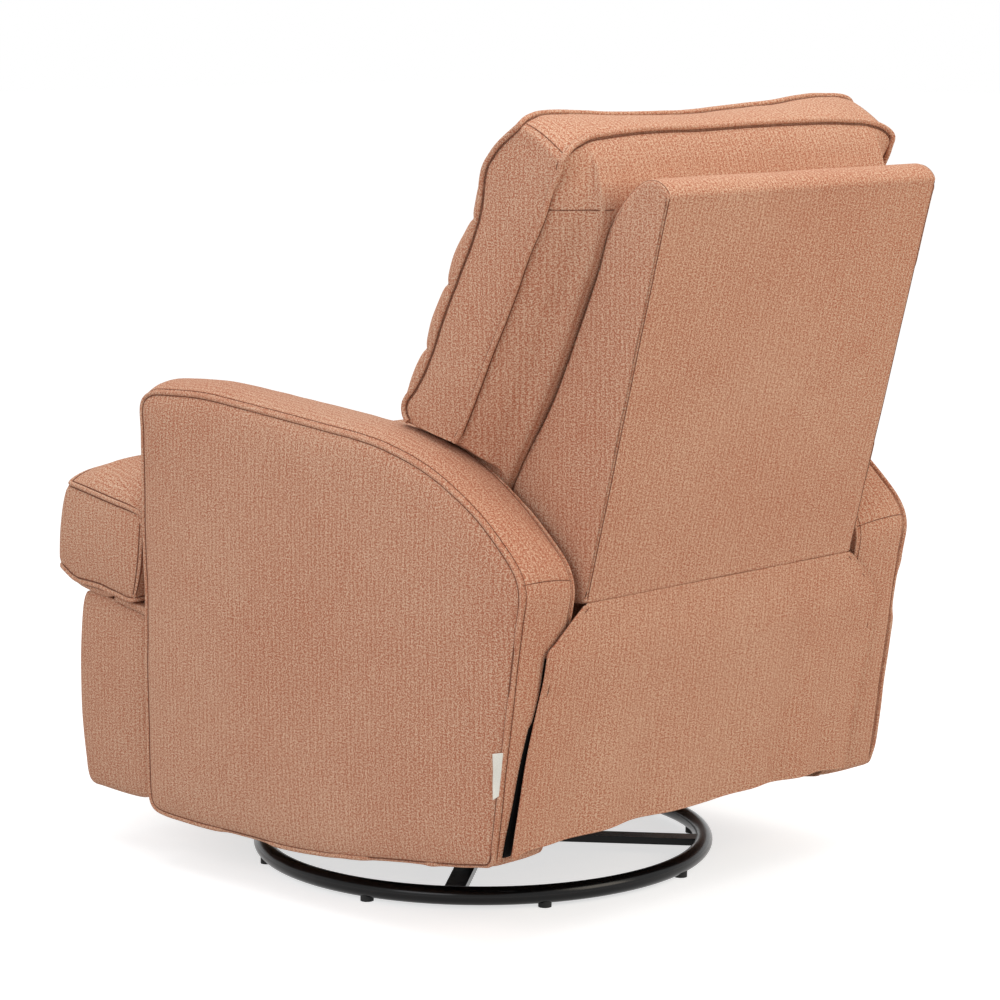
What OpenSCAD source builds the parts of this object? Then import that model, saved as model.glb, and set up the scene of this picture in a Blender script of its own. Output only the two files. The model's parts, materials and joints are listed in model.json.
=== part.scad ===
// Swivel glider recliner. The padded chair turns on a round tube base, glides to and fro on
// four hanging links, leans its back and folds out its leg rest. Millimetres, +Z up.
// The sitter faces -Y and the sitter's left is +X. The origin is on the floor, under the
// middle of the chair. Outlines of the sides are [y, z] points, seen from +X.

/* [Base] */
// Radius of the ring's centre line
ring_radius = 312; // [280:1:340]
// Radius of the ring's tube
ring_tube_radius = 12.5; // [11:0.5:16]
// Height of the tube above the floor
pad_height = 5; // [4:0.5:14]
// Radius of a rubber pad
pad_radius = 9; // [7:0.5:14]
// Number of pads
pad_count = 8; // [4:4:12]
// Width of a cross bar
bar_width = 28; // [22:1:36]
// Thickness of a cross bar
bar_thickness = 10; // [6:1:12]
// Turn of the cross away from the chair's side
base_turn = 37; // [0:1:60]
// Height of the bars' middle over the tube's middle
bar_rise = 3; // [0:0.5:4]

/* [Swivel] */
// Place of the swivel axis along the chair
swivel_y = -46.5; // [-60:0.5:-30]
// Radius of the post on the cross
post_radius = 26; // [22:1:32]
// Height of the post
post_height = 36.5; // [26:0.5:40]
// Width of the square swivel plates
swivel_plate_width = 160; // [140:1:180]
// Thickness of the swivel plates
swivel_plate_thickness = 3; // [2:0.5:5]
// Radius of the circle of balls
race_radius = 62; // [50:1:65]
// Radius of a ball
ball_radius = 4.7; // [4:0.1:6]
// Number of balls
ball_count = 16; // [8:1:20]
// Radius of the king pin
king_pin_radius = 8; // [6:0.5:12]

/* [Glider] */
// Distance between a hanging link's two pivots
swing_length = 110; // [100:1:115]
// Half the distance between the front and rear pivots
swing_spread = 110; // [106:1:116]
// Size of the square glider tubes
glider_tube = 25; // [20:1:28]
// Wall of the square tubes
tube_wall = 2; // [1.5:0.5:3]
// Space between the hangers and the leg rest's links
glider_side_gap = 10.5; // [8:0.5:20]
// Thickness of a post
glider_post_thickness = 12; // [10:1:14]
// Depth of a post along the chair
glider_post_depth = 24; // [20:1:26]
// Height of the upper pivots over the floor
upper_pivot_z = 250; // [246:1:258]
// Height of the hanger bars
hanger_height = 30; // [26:1:34]
// Radius of the tubes that join the hangers
carriage_tube_radius = 11; // [8:0.5:12]
// Distance of each carriage tube from the swivel axis
carriage_tube_spread = 50; // [46:1:54]

/* [Mechanism] */
// Depth of the brackets that carry the arms
arm_bracket_depth = 7; // [6:0.5:10]
// Thickness of the mechanism plates
mechanism_thickness = 4; // [3:0.5:5]
// Thickness of a link
link_thickness = 5; // [4:0.5:6]
// Radius of a link's rounded end
link_end_radius = 15; // [12:0.5:16]
// Radius of a pivot pin
pin_radius = 5; // [4:0.5:6]
// Length of the leg rest's first link
drive_length = 159; // [157:0.5:161]
// Direction of the first link when folded
drive_angle = -68; // [-69:0.5:-67]
// Length of the leg rest's second link
reach_length = 195; // [193:0.5:197]
// Direction of the second link when folded
reach_angle = 118; // [117:0.5:119]
// Distance of the leg rest's fixed pivot behind the arms' front seam
drive_pivot_set = 50.5; // [49:0.5:52]
// Height of the leg rest's fixed pivot
drive_pivot_z = 281; // [279:0.5:283]
// Distance of the back's hinge in front of the arms' rear seam
back_pivot_set = 160.5; // [157:0.5:164]
// Height of the back's hinge
back_pivot_z = 380; // [376:1:384]
// Radius of the rod that joins the two knees
knee_rod_radius = 7; // [6:0.5:8]

/* [Seat frame] */
// Width of a timber rail
rail_width = 23.5; // [20:0.5:24]
// Height of a side rail
rail_height = 60; // [50:1:66]
// Height of the front and rear rails
cross_rail_height = 39; // [30:1:40]
// Width of a webbing strap
strap_width = 50; // [40:1:56]
// Thickness of the webbing
strap_thickness = 2.5; // [1.5:0.5:3]
// Number of lengthwise straps
strap_count = 5; // [3:1:5]
// Thickness of the ledge under the cushion's front
ledge_thickness = 10; // [8:0.5:11]

/* [Arms] */
// Width of the chair over the arms' outer seams
chair_width = 770; // [760:1:790]
// Width of an arm between its seams
arm_width = 100; // [96:1:108]
// Length of an arm between its seams
arm_length = 709; // [700:1:716]
// Place of the arms' front seam
arm_front_y = -318.5; // [-321:0.5:-317]
// Height of the arms' underside
arm_bottom_z = 75; // [68:1:80]
// Height of an arm from its underside to its top seam
arm_height = 591; // [585:1:596]
// Swell of an arm's outer panel
arm_swell = 10; // [6:1:14]
// Rise of the arm's band between its seams
arm_crown = 14; // [8:1:16]
// Thickness of the board inside an arm
arm_board_thickness = 18; // [12:1:22]
// Length of the small blank tag
tag_length = 60; // [40:1:80]
// Width of the tag
tag_width = 15; // [10:1:20]

/* [Seat cushion] */
// Length of the cushion, front seam to rear seam
cushion_length = 630; // [610:1:640]
// Length of the ears in front of the arms
ear_length = 168; // [160:1:170]
// Thickness of the cushion at its seams
cushion_thickness = 120; // [110:1:124]
// Rise of the cushion's top over its seams
cushion_crown = 45; // [30:1:50]
// Swell of the front over its seams
cushion_swell = 13; // [8:1:16]
// Place of the front seams' middle
cushion_front_y = -511; // [-514:1:-509]
// Height of the front seams' middle
cushion_front_z = 453; // [450:1:458]
// Fall of the cushion for each millimetre, under the ears
ear_fall = 0.205; // [0.18:0.005:0.22]
// Fall of the cushion for each millimetre, between the arms
seat_fall = 0.11; // [0.1:0.005:0.13]

/* [Leg rest] */
// Distance of the leg rest's ends inside the arms' outer seams
footrest_inset = 17; // [14:1:30]
// Height of the folded leg rest
footrest_height = 270; // [262:1:272]
// Depth of the folded leg rest's padding
footrest_depth = 141; // [136:0.5:143]
// Height of its underside when folded
footrest_bottom_z = 84; // [82:0.5:88]
// Thickness of the board behind it
footrest_board_thickness = 15; // [12:0.5:16]
// Swell of the padding's front at the middle
footrest_swell = 9; // [4:1:12]

/* [Back] */
// Thickness of the back's side covers
side_cover_thickness = 6; // [5:0.5:8]
// Depth of the back cushion's outline
pillow_depth = 400; // [396:1:402]
// Height of the back cushion's outline
pillow_height = 600; // [596:1:602]
// Distance of the back cushion's lower front edge in front of the hinge
pillow_reach = 155; // [150:1:158]
// Height of the back cushion's lower edge
pillow_bottom_z = 448; // [447:1:450]
// Reach of the back cushion's wings over the arms
wing_overhang = 43; // [38:1:48]
// Swell of each sewn channel
channel_swell = 15; // [8:1:18]
// Thickness of the cover and its padding
cover_thickness = 10; // [8:0.5:11]
// Thickness of the timber cheeks
cheek_thickness = 18; // [15:1:20]
// Drop of the rear skirt below the shell
skirt_drop = 323; // [300:1:330]
// Depth of the skirt's folds
skirt_fold = 6; // [2:0.5:8]

/* [Release] */
// Width of the release tab
tab_width = 28; // [22:1:34]
// Thickness of the release tab
tab_thickness = 3; // [2:0.5:3.5]
// Travel of the release tab
tab_travel = 20; // [12:1:22]

/* [Hidden] */
$fn = 48;

steel = "#3b3d40";
gloss_black = "#151517";
timber = "#c9a777";
webbing = "#5a5148";
cloth = "#bf8a70";
cloth_light = "#cb9a80";
rubber = "#222222";

// Free play round a pin or a shaft
run_gap = 0.05;
// Space between two flat plates that slide past each other
layer_gap = 0.5;
// Space between soft pieces and what carries them
rest_gap = 0.3;
// Space where one piece of the arms or the cushion stands beside the next
side_gap = 6;
// How far a cutting tool runs past a face
cut_over = 1;

// Heights of the base
ring_z = pad_height + ring_tube_radius;
bar_z = ring_z + bar_rise - bar_thickness / 2;
post_z = bar_z + bar_thickness;
flange_thickness = 4;
flange_radius = 45;
lower_plate_z = post_z + post_height;
race_height = 2 * ball_radius + 2 * rest_gap;
upper_plate_z = lower_plate_z + swivel_plate_thickness + race_height;
cage_thickness = 3;
cage_margin = 7;
king_head_radius = 14;
king_head_height = 4;
glider_z = upper_plate_z + swivel_plate_thickness;

// Widths of the arms and the layers between them, inward from the arms
arm_outer_x = chair_width / 2;
arm_inner_x = arm_outer_x - arm_width;
side_rail_x = arm_inner_x - arm_bracket_depth - rail_width;
mechanism_x = side_rail_x - layer_gap - mechanism_thickness;
back_bracket_x = mechanism_x + mechanism_thickness + layer_gap;
shell_half_width = back_bracket_x + link_thickness + layer_gap + side_cover_thickness;
pillow_half_width = arm_inner_x + wing_overhang;
footrest_width = chair_width - 2 * footrest_inset;

// Layers of the leg rest's links, inward from the mechanism plate
drive_x = mechanism_x - layer_gap - link_thickness;
reach_x = drive_x - layer_gap - link_thickness;
bracket_x = reach_x - layer_gap - link_thickness;

// Layers of the glider, inward from the leg rest's links
hanger_x = bracket_x - glider_side_gap - link_thickness;
swing_x = hanger_x - layer_gap - link_thickness;
glider_post_x = swing_x - layer_gap - glider_post_thickness;
glider_rail_x = glider_post_x + glider_post_thickness / 2 - glider_tube / 2;
lower_pivot_z = upper_pivot_z - swing_length;
post_top_margin = 16;
glider_end_margin = 25;
hanger_end_margin = 20;
front_swing_y = swivel_y - swing_spread;
rear_swing_y = swivel_y + swing_spread;
pin_head_radius = 8;
pin_head_height = 2;

// Pivots of the leg rest and the back
drive_pivot = [arm_front_y + drive_pivot_set, drive_pivot_z];
knee_pivot = drive_pivot + drive_length * [cos(drive_angle), sin(drive_angle)];
ankle_pivot = knee_pivot + reach_length * [cos(reach_angle), sin(reach_angle)];
back_pivot = [arm_front_y + arm_length - back_pivot_set, back_pivot_z];

// Arms: the band swells less at the front and rear than on top
band_share = 0.7;
arm_middle_y = arm_front_y + arm_length / 2;
arm_outline_shares = [[0.027, 0.007], [0.299, 0], [0.46, 0.004], [0.72, 0.039], [0.86, 0.062],
  [0.922, 0.076], [0.949, 0.271], [0.973, 0.447], [0.991, 0.587], [1, 0.662], [0.99, 0.702],
  [0.941, 0.765], [0.877, 0.827], [0.767, 0.904], [0.657, 0.944], [0.528, 0.963],
  [0.394, 0.978], [0.255, 0.993], [0.171, 1], [0.069, 0.998], [0.024, 0.992], [0, 0.973],
  [0, 0.893], [0.002, 0.45], [0.006, 0.029], [0.014, 0.014]];

// Seat cushion: its middle line falls steeply under the ears and gently between the arms
cushion_half = cushion_thickness / 2;
ear_inset = 13;
ear_half_width = arm_outer_x - ear_inset;
body_half_width = arm_inner_x - side_gap;
kink_y = cushion_front_y + ear_length;
kink_z = cushion_front_z - ear_fall * ear_length;
seat_fall_factor = 1 / sqrt(1 + seat_fall * seat_fall);
ear_fall_factor = 1 / sqrt(1 + ear_fall * ear_fall);
deck_z = kink_z - cushion_half * seat_fall_factor;
deck_y = kink_y - cushion_half * seat_fall * seat_fall_factor;

// Seat frame
rail_front_set = 56.5;
rail_rear_set = 8;
ledge_front_set = 109;
rail_front_y = arm_front_y + rail_front_set;
rail_rear_y = back_pivot[0] - rail_rear_set;
ledge_front_y = cushion_front_y + ledge_front_set;
ledge_margin = 10;
ledge_step = 2;
side_rail_setback = 7;

// Leg rest
footrest_gap = 3;
footrest_back_y = arm_front_y - arm_crown * band_share - footrest_gap;
footrest_front_y = footrest_back_y - footrest_board_thickness - footrest_depth;
footrest_outline_shares = [[0.26, 0], [0.96, 0], [1, 0.022], [1, 0.45], [1, 0.9], [0.96, 0.93],
  [0.22, 1], [0.15, 0.993], [0.08, 0.91], [0.027, 0.69], [0, 0.45], [0.007, 0.21],
  [0.06, 0.074], [0.14, 0.019]];
footrest_board_margin = 23;

// Back shell, as its side outline
shell_shares = [[0.004, 0.05], [0.36, 0], [0.485, 0.009], [0.935, 0.965], [0.9, 0.989],
  [0.845, 1], [0.775, 0.991], [0.625, 0.91], [0.54, 0.783], [0.425, 0.642], [0.285, 0.473],
  [0.032, 0.236]];
shell_set = 21;
shell_drop = 7;
shell_front_y = back_pivot[0] + shell_set;
shell_depth = 293.5;
shell_bottom_z = pillow_bottom_z - shell_drop;
shell_height = 535;
pillow_front_y = back_pivot[0] - pillow_reach;

function mix(a, b, t) = a + (b - a) * t;
function placed(shares, y, z, length, height) =
  [for (p = shares) [y + p[0] * length, z + p[1] * height]];
function grown(outline, y, z, ky, kz) =
  [for (p = outline) [y + (p[0] - y) * ky, z + (p[1] - z) * kz]];
function both_ways(list) =
  concat([for (i = [len(list) - 1 : -1 : 1]) -list[i]], list);
function deck_at(y) = deck_z - seat_fall * (y - deck_y);

// Closed skin through outlines of equal length, each at its own x. An outline runs
// counter-clockwise seen from +X, and its first points lie across from its last.
module skin(xs, rings) {
  n = len(rings[0]);
  m = len(xs);
  last = (m - 1) * n;
  points = [for (i = [0 : m - 1], p = rings[i]) [xs[i], p[0], p[1]]];
  walls = [for (i = [0 : m - 2], j = [0 : n - 1], k = [0, 1])
    k == 0 ? [i * n + j, (i + 1) * n + j, (i + 1) * n + (j + 1) % n]
           : [i * n + j, (i + 1) * n + (j + 1) % n, i * n + (j + 1) % n]];
  caps = [for (j = [0 : n / 2 - 2], k = [0 : 3])
    k == 0 ? [j, j + 1, n - 1 - j]
    : k == 1 ? [j + 1, n - 2 - j, n - 1 - j]
    : k == 2 ? [last + j, last + n - 1 - j, last + j + 1]
    : [last + j + 1, last + n - 1 - j, last + n - 2 - j]];
  polyhedron(points, concat(walls, caps));
}

// Flat plate that stands across X, from an outline of [y, z] points
module plate(x, thickness, outline) {
  translate([x, 0, 0]) rotate([90, 0, 90]) linear_extrude(thickness) polygon(outline);
}

// Puts a copy of the children on each side of the chair
module both_sides() {
  children();
  mirror([1, 0, 0]) children();
}

// Places the children's Z axis along +X, through a [y, z] point
module across(x, pivot) {
  translate([x, pivot[0], pivot[1]]) rotate([0, 90, 0]) children();
}

// Flat link with round ends and a bore at each end
module link_bar(x, a, b, end_radius) {
  span = norm(b - a);
  turn = atan2(b[1] - a[1], b[0] - a[0]);
  translate([x, a[0], a[1]]) rotate([turn, 0, 0]) rotate([90, 0, 90]) difference() {
    union() {
      cylinder(r = end_radius, h = link_thickness);
      translate([span, 0, 0]) cylinder(r = end_radius, h = link_thickness);
      translate([0, -end_radius, 0]) cube([span, 2 * end_radius, link_thickness]);
    }
    for (u = [0, span])
      translate([u, 0, -cut_over])
        cylinder(r = pin_radius + run_gap, h = link_thickness + 2 * cut_over);
  }
}

// Hole for a pin across X
module pin_hole(x, length, pivot) {
  across(x - cut_over, pivot) cylinder(r = pin_radius + run_gap, h = length + 2 * cut_over);
}

// Pin with one head, its shank from x over the length, the head on the outer end
module headed_pin(x, length, pivot) {
  across(x, pivot) union() {
    cylinder(r = pin_radius, h = length);
    translate([0, 0, length]) cylinder(r = pin_head_radius, h = pin_head_height);
  }
}

// Pin with its head on the inner end
module inner_headed_pin(x, length, pivot) {
  across(x, pivot) union() {
    cylinder(r = pin_radius, h = length);
    translate([0, 0, -pin_head_height]) cylinder(r = pin_head_radius, h = pin_head_height);
  }
}

// Square tube along Y or X, from its low corner
module square_tube(size, along) {
  difference() {
    cube(size);
    if (along == "y")
      translate([tube_wall, -cut_over, tube_wall])
        cube([size[0] - 2 * tube_wall, size[1] + 2 * cut_over, size[2] - 2 * tube_wall]);
    else
      translate([-cut_over, tube_wall, tube_wall])
        cube([size[0] + 2 * cut_over, size[1] - 2 * tube_wall, size[2] - 2 * tube_wall]);
  }
}

module ring_torus(radius) {
  translate([0, 0, ring_z]) rotate_extrude() translate([ring_radius, 0]) circle(r = radius);
}

module base_ring() {
  color(gloss_black) translate([0, swivel_y, 0]) ring_torus(ring_tube_radius);
}

// The bars' ends are cut to the round of the tube that they are welded to
module cross_bar() {
  color(gloss_black) translate([0, swivel_y, 0]) rotate([0, 0, base_turn]) difference() {
    translate([-ring_radius, -bar_width / 2, bar_z])
      cube([2 * ring_radius, bar_width, bar_thickness]);
    ring_torus(ring_tube_radius + run_gap);
  }
}

module cross_arms() {
  color(gloss_black) translate([0, swivel_y, 0]) rotate([0, 0, base_turn]) for (turn = [90, 270])
    rotate([0, 0, turn]) difference() {
      translate([bar_width / 2 + run_gap, -bar_width / 2, bar_z])
        cube([ring_radius - bar_width / 2 - run_gap, bar_width, bar_thickness]);
      ring_torus(ring_tube_radius + run_gap);
    }
}

module foot_pads() {
  color(rubber) translate([0, swivel_y, 0]) for (i = [0 : pad_count - 1])
    rotate([0, 0, base_turn + (i + 0.5) * 360 / pad_count]) difference() {
      translate([ring_radius, 0, 0]) cylinder(r = pad_radius, h = ring_z - ring_tube_radius / 2);
      ring_torus(ring_tube_radius + run_gap);
    }
}

module swivel_post() {
  color(gloss_black) translate([0, swivel_y, post_z]) union() {
    cylinder(r = flange_radius, h = flange_thickness);
    cylinder(r = post_radius, h = post_height);
  }
}

module swivel_lower_plate() {
  color(steel) translate([-swivel_plate_width / 2, swivel_y - swivel_plate_width / 2, lower_plate_z])
    cube([swivel_plate_width, swivel_plate_width, swivel_plate_thickness]);
}

module ball_places() {
  for (i = [0 : ball_count - 1])
    rotate([0, 0, i * 360 / ball_count]) translate([race_radius, 0, 0]) children();
}

module bearing_balls() {
  color("silver")
    translate([0, swivel_y, lower_plate_z + swivel_plate_thickness + rest_gap + ball_radius])
      ball_places() sphere(r = ball_radius);
}

module bearing_cage() {
  color("white")
    translate([0, swivel_y, lower_plate_z + swivel_plate_thickness + race_height / 2 - cage_thickness / 2])
      difference() {
        cylinder(r = race_radius + cage_margin, h = cage_thickness);
        translate([0, 0, -cut_over])
          cylinder(r = race_radius - cage_margin, h = cage_thickness + 2 * cut_over);
        ball_places() translate([0, 0, -cut_over])
          cylinder(r = ball_radius + rest_gap, h = cage_thickness + 2 * cut_over);
      }
}

module king_pin() {
  color(steel) translate([0, swivel_y, lower_plate_z + swivel_plate_thickness]) union() {
    cylinder(r = king_pin_radius, h = race_height + swivel_plate_thickness + rest_gap);
    translate([0, 0, race_height + swivel_plate_thickness + rest_gap])
      cylinder(r = king_head_radius, h = king_head_height);
  }
}

module swivel_upper_plate() {
  color(steel) difference() {
    translate([-swivel_plate_width / 2, swivel_y - swivel_plate_width / 2, upper_plate_z])
      cube([swivel_plate_width, swivel_plate_width, swivel_plate_thickness]);
    translate([0, swivel_y, upper_plate_z - cut_over])
      cylinder(r = king_pin_radius + run_gap, h = swivel_plate_thickness + 2 * cut_over);
  }
}

module glider_rail() {
  reach = swing_spread + glider_end_margin;
  translate([glider_rail_x, swivel_y - reach, glider_z])
    square_tube([glider_tube, 2 * reach, glider_tube], "y");
}

module glider_rail_left() {
  color(steel) glider_rail();
}

module glider_rail_right() {
  color(steel) mirror([1, 0, 0]) glider_rail();
}

// The cross tubes lie on the swivel plate, on either side of the king pin's head
module glider_cross(side) {
  y = side * (swivel_plate_width / 2 - glider_tube / 2);
  translate([-glider_rail_x, swivel_y + y - glider_tube / 2, glider_z])
    square_tube([2 * glider_rail_x, glider_tube, glider_tube], "x");
}

module glider_cross_front() {
  color(steel) glider_cross(-1);
}

module glider_cross_rear() {
  color(steel) glider_cross(1);
}

module glider_posts() {
  base_z = glider_z + glider_tube;
  color(steel) both_sides() for (y = [front_swing_y, rear_swing_y]) difference() {
    translate([glider_post_x, y - glider_post_depth / 2, base_z])
      cube([glider_post_thickness, glider_post_depth, upper_pivot_z + post_top_margin - base_z]);
    pin_hole(glider_post_x, glider_post_thickness, [y, upper_pivot_z]);
  }
}

module upper_pivot_pins() {
  color("silver") both_sides() for (y = [front_swing_y, rear_swing_y])
    headed_pin(glider_post_x, glider_post_thickness + 2 * layer_gap + link_thickness,
      [y, upper_pivot_z]);
}

module swing_links(y) {
  color(steel) both_sides()
    link_bar(swing_x, [y, lower_pivot_z], [y, upper_pivot_z], link_end_radius);
}

module front_swing_links() {
  swing_links(front_swing_y);
}

module rear_swing_links() {
  swing_links(rear_swing_y);
}

carriage_tube_places = [swivel_y - carriage_tube_spread, swivel_y + carriage_tube_spread];

module hanger() {
  reach = swing_spread + hanger_end_margin;
  difference() {
    translate([hanger_x, swivel_y - reach, lower_pivot_z - hanger_height / 2])
      cube([link_thickness, 2 * reach, hanger_height]);
    for (y = [front_swing_y, rear_swing_y])
      pin_hole(hanger_x, link_thickness, [y, lower_pivot_z]);
    for (y = carriage_tube_places) across(hanger_x - cut_over, [y, lower_pivot_z])
      cylinder(r = carriage_tube_radius + run_gap, h = link_thickness + 2 * cut_over);
  }
}

module hanger_left() {
  color(steel) hanger();
}

module hanger_right() {
  color(steel) mirror([1, 0, 0]) hanger();
}

module lower_pivot_pins() {
  color("silver") both_sides() for (y = [front_swing_y, rear_swing_y])
    headed_pin(swing_x, link_thickness + layer_gap + link_thickness, [y, lower_pivot_z]);
}

module carriage_tube(y) {
  across(-mechanism_x, [y, lower_pivot_z]) difference() {
    cylinder(r = carriage_tube_radius, h = 2 * mechanism_x);
    translate([0, 0, -cut_over])
      cylinder(r = carriage_tube_radius - tube_wall, h = 2 * (mechanism_x + cut_over));
  }
}

module carriage_tube_front() {
  color(steel) carriage_tube(carriage_tube_places[0]);
}

module carriage_tube_rear() {
  color(steel) carriage_tube(carriage_tube_places[1]);
}

// Side plate of the mechanism: it carries the leg rest's pivot, the timber rails, the
// carriage tubes and the back's hinge
mechanism_margin = 22;
function mechanism_outline() = [
  drive_pivot + [-mechanism_margin, -link_end_radius],
  [carriage_tube_places[0] - 4 * mechanism_margin, drive_pivot_z - 2 * mechanism_margin],
  [carriage_tube_places[0] - mechanism_margin, lower_pivot_z - mechanism_margin],
  [carriage_tube_places[1] + mechanism_margin, lower_pivot_z - mechanism_margin],
  [rail_rear_y - 2 * mechanism_margin, deck_at(rail_rear_y) - rail_height],
  [rail_rear_y + layer_gap, deck_at(rail_rear_y) - rail_height + mechanism_margin],
  back_pivot + [mechanism_margin, -mechanism_margin],
  back_pivot + [mechanism_margin, mechanism_margin / 2],
  back_pivot + [0, mechanism_margin],
  back_pivot + [-mechanism_margin, mechanism_margin / 2],
  [rail_rear_y - 2 * mechanism_margin, deck_at(rail_rear_y) - rest_gap],
  [rail_front_y + 2 * mechanism_margin, deck_at(rail_front_y) - mechanism_margin],
  [rail_front_y, deck_at(rail_front_y) - mechanism_margin],
  drive_pivot + [-mechanism_margin, link_end_radius]];

module mechanism_plate() {
  difference() {
    plate(mechanism_x, mechanism_thickness, mechanism_outline());
    pin_hole(mechanism_x, mechanism_thickness, drive_pivot);
    pin_hole(mechanism_x, mechanism_thickness, back_pivot);
  }
}

module mechanism_plate_left() {
  color(steel) mechanism_plate();
}

module mechanism_plate_right() {
  color(steel) mirror([1, 0, 0]) mechanism_plate();
}

// Timber side rail, its top just under the webbing
module side_rail() {
  front = rail_front_y + side_rail_setback;
  plate(side_rail_x, rail_width, [
    [front, deck_at(front) - strap_thickness - 2 * rest_gap - rail_height],
    [rail_rear_y, deck_at(rail_rear_y) - strap_thickness - 2 * rest_gap - rail_height],
    [rail_rear_y, deck_at(rail_rear_y) - strap_thickness - 2 * rest_gap],
    [front, deck_at(front) - strap_thickness - 2 * rest_gap]]);
}

module side_rail_left() {
  color(timber) side_rail();
}

module side_rail_right() {
  color(timber) mirror([1, 0, 0]) side_rail();
}

// Rail across the seat, cut to the slope of the webbing that lies on it
module cross_rail(y) {
  half = mechanism_x - run_gap;
  plate(-half, 2 * half, [
    [y, deck_at(y) - strap_thickness - 2 * rest_gap - cross_rail_height],
    [y + rail_width, deck_at(y) - strap_thickness - 2 * rest_gap - cross_rail_height],
    [y + rail_width, deck_at(y + rail_width) - strap_thickness - 2 * rest_gap],
    [y, deck_at(y) - strap_thickness - 2 * rest_gap]]);
}

module front_rail() {
  color(timber) cross_rail(rail_front_y);
}

module rear_rail() {
  color(timber) cross_rail(rail_rear_y - rail_width);
}

module seat_webbing() {
  room = 2 * (mechanism_x - strap_width / 2 - mechanism_thickness);
  color(webbing) for (i = [0 : strap_count - 1])
    plate(-room / 2 + room * i / (strap_count - 1) - strap_width / 2, strap_width, [
      [rail_front_y, deck_at(rail_front_y) - rest_gap - strap_thickness],
      [rail_rear_y, deck_at(rail_rear_y) - rest_gap - strap_thickness],
      [rail_rear_y, deck_at(rail_rear_y) - rest_gap],
      [rail_front_y, deck_at(rail_front_y) - rest_gap]]);
}

// Ledge that carries the ears: wide in front of the arms, narrow back to the front rail
ledge_rear_y = arm_front_y - arm_crown - ledge_step;
function ledge_top(y) = y < deck_y
  ? deck_z + ear_fall * (deck_y - y) - ledge_step
  : deck_at(y) - ledge_step;
module front_ledge() {
  wide = ear_half_width - ledge_margin;
  narrow = body_half_width;
  back_y = rail_front_y - rest_gap;
  color(cloth) union() {
    plate(-wide, 2 * wide, [
      [ledge_front_y, ledge_top(ledge_front_y) - ledge_thickness],
      [deck_y, ledge_top(deck_y) - ledge_thickness],
      [ledge_rear_y, ledge_top(ledge_rear_y) - ledge_thickness],
      [ledge_rear_y, ledge_top(ledge_rear_y)],
      [deck_y, ledge_top(deck_y)],
      [ledge_front_y, ledge_top(ledge_front_y)]]);
    plate(-narrow, 2 * narrow, [
      [ledge_rear_y - cut_over, ledge_top(ledge_rear_y) - ledge_thickness],
      [back_y, ledge_top(back_y) - ledge_thickness],
      [back_y, ledge_top(back_y)],
      [ledge_rear_y - cut_over, ledge_top(ledge_rear_y)]]);
  }
}

// Seat cushion, a T in plan. Each pair of a station is [place along, half thickness], as
// shares, and the crown is highest in the middle.
cushion_pair_shares = [[0, 1], [0.06, 1], [0.14, 1], [0.27, 1], [0.42, 1], [0.58, 1],
  [0.74, 1], [0.88, 1], [1, 0.9]];
cushion_crown_shares = [[0, 0.5], [0.08, 0.85], [0.3, 1], [0.7, 0.8], [0.88, 0.3], [1, 0.05]];
cushion_station_shares = [0, 0.27, 0.52, 0.68];
ear_station_shares = [0.87, 0.965, 1];
end_round_share = 0.9;

function cushion_fall(s) = s < ear_length ? ear_fall : seat_fall;
function cushion_middle(s) = s < ear_length
  ? [cushion_front_y + s, cushion_front_z - ear_fall * s]
  : [cushion_front_y + s, kink_z - seat_fall * (s - ear_length)];
function cushion_point(s, up) =
  cushion_middle(s) + up * [cushion_fall(s), 1] / sqrt(1 + cushion_fall(s) * cushion_fall(s));
function cushion_rise(x) = cushion_crown * (1 - pow(abs(x) / ear_half_width, 3));
function cushion_ring(x, length, draw) = concat(
  [cushion_point(-cushion_swell * draw, -cushion_half / 3)],
  [for (p = cushion_pair_shares) cushion_point(p[0] * length, -cushion_half * p[1] * draw)],
  [cushion_point(length + cushion_swell / 2, -cushion_half / 3)],
  [cushion_point(length + cushion_swell / 2, cushion_half / 3)],
  [for (i = [len(cushion_pair_shares) - 1 : -1 : 0])
    let (p = cushion_pair_shares[i])
    cushion_point(p[0] * length,
      cushion_half * p[1] * draw + cushion_rise(x) * lookup(p[0], cushion_crown_shares))],
  [cushion_point(-cushion_swell * draw, cushion_half / 3)]);

module seat_cushion() {
  body = concat([for (k = cushion_station_shares) k * ear_half_width], [body_half_width]);
  ears = concat([body_half_width + cut_over], [for (k = ear_station_shares) k * ear_half_width]);
  xs = both_ways(concat(body, ears));
  color(cloth_light) skin(xs, [for (x = xs)
    cushion_ring(x, abs(x) > body_half_width ? ear_length - cushion_swell / 2 : cushion_length,
      abs(x) > 0.99 * ear_half_width ? end_round_share : 1)]);
}

// Arms
bracket_length = 40;
module arm_brackets() {
  x = side_rail_x + rail_width;
  color(steel) both_sides() for (y = [rail_front_y + 2 * bracket_length, rail_rear_y - 2 * bracket_length])
    translate([x, y, deck_at(y) - rail_height + side_gap])
      cube([arm_inner_x - x, bracket_length, bracket_length]);
}

function arm_outline(ky, kz) =
  grown(placed(arm_outline_shares, arm_front_y, arm_bottom_z, arm_length, arm_height),
    arm_middle_y, arm_bottom_z, ky, kz);

module arm_board() {
  plate(arm_inner_x, arm_board_thickness, arm_outline(0.985, 0.985));
}

module arm_board_left() {
  color(timber) arm_board();
}

module arm_board_right() {
  color(timber) mirror([1, 0, 0]) arm_board();
}

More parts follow.
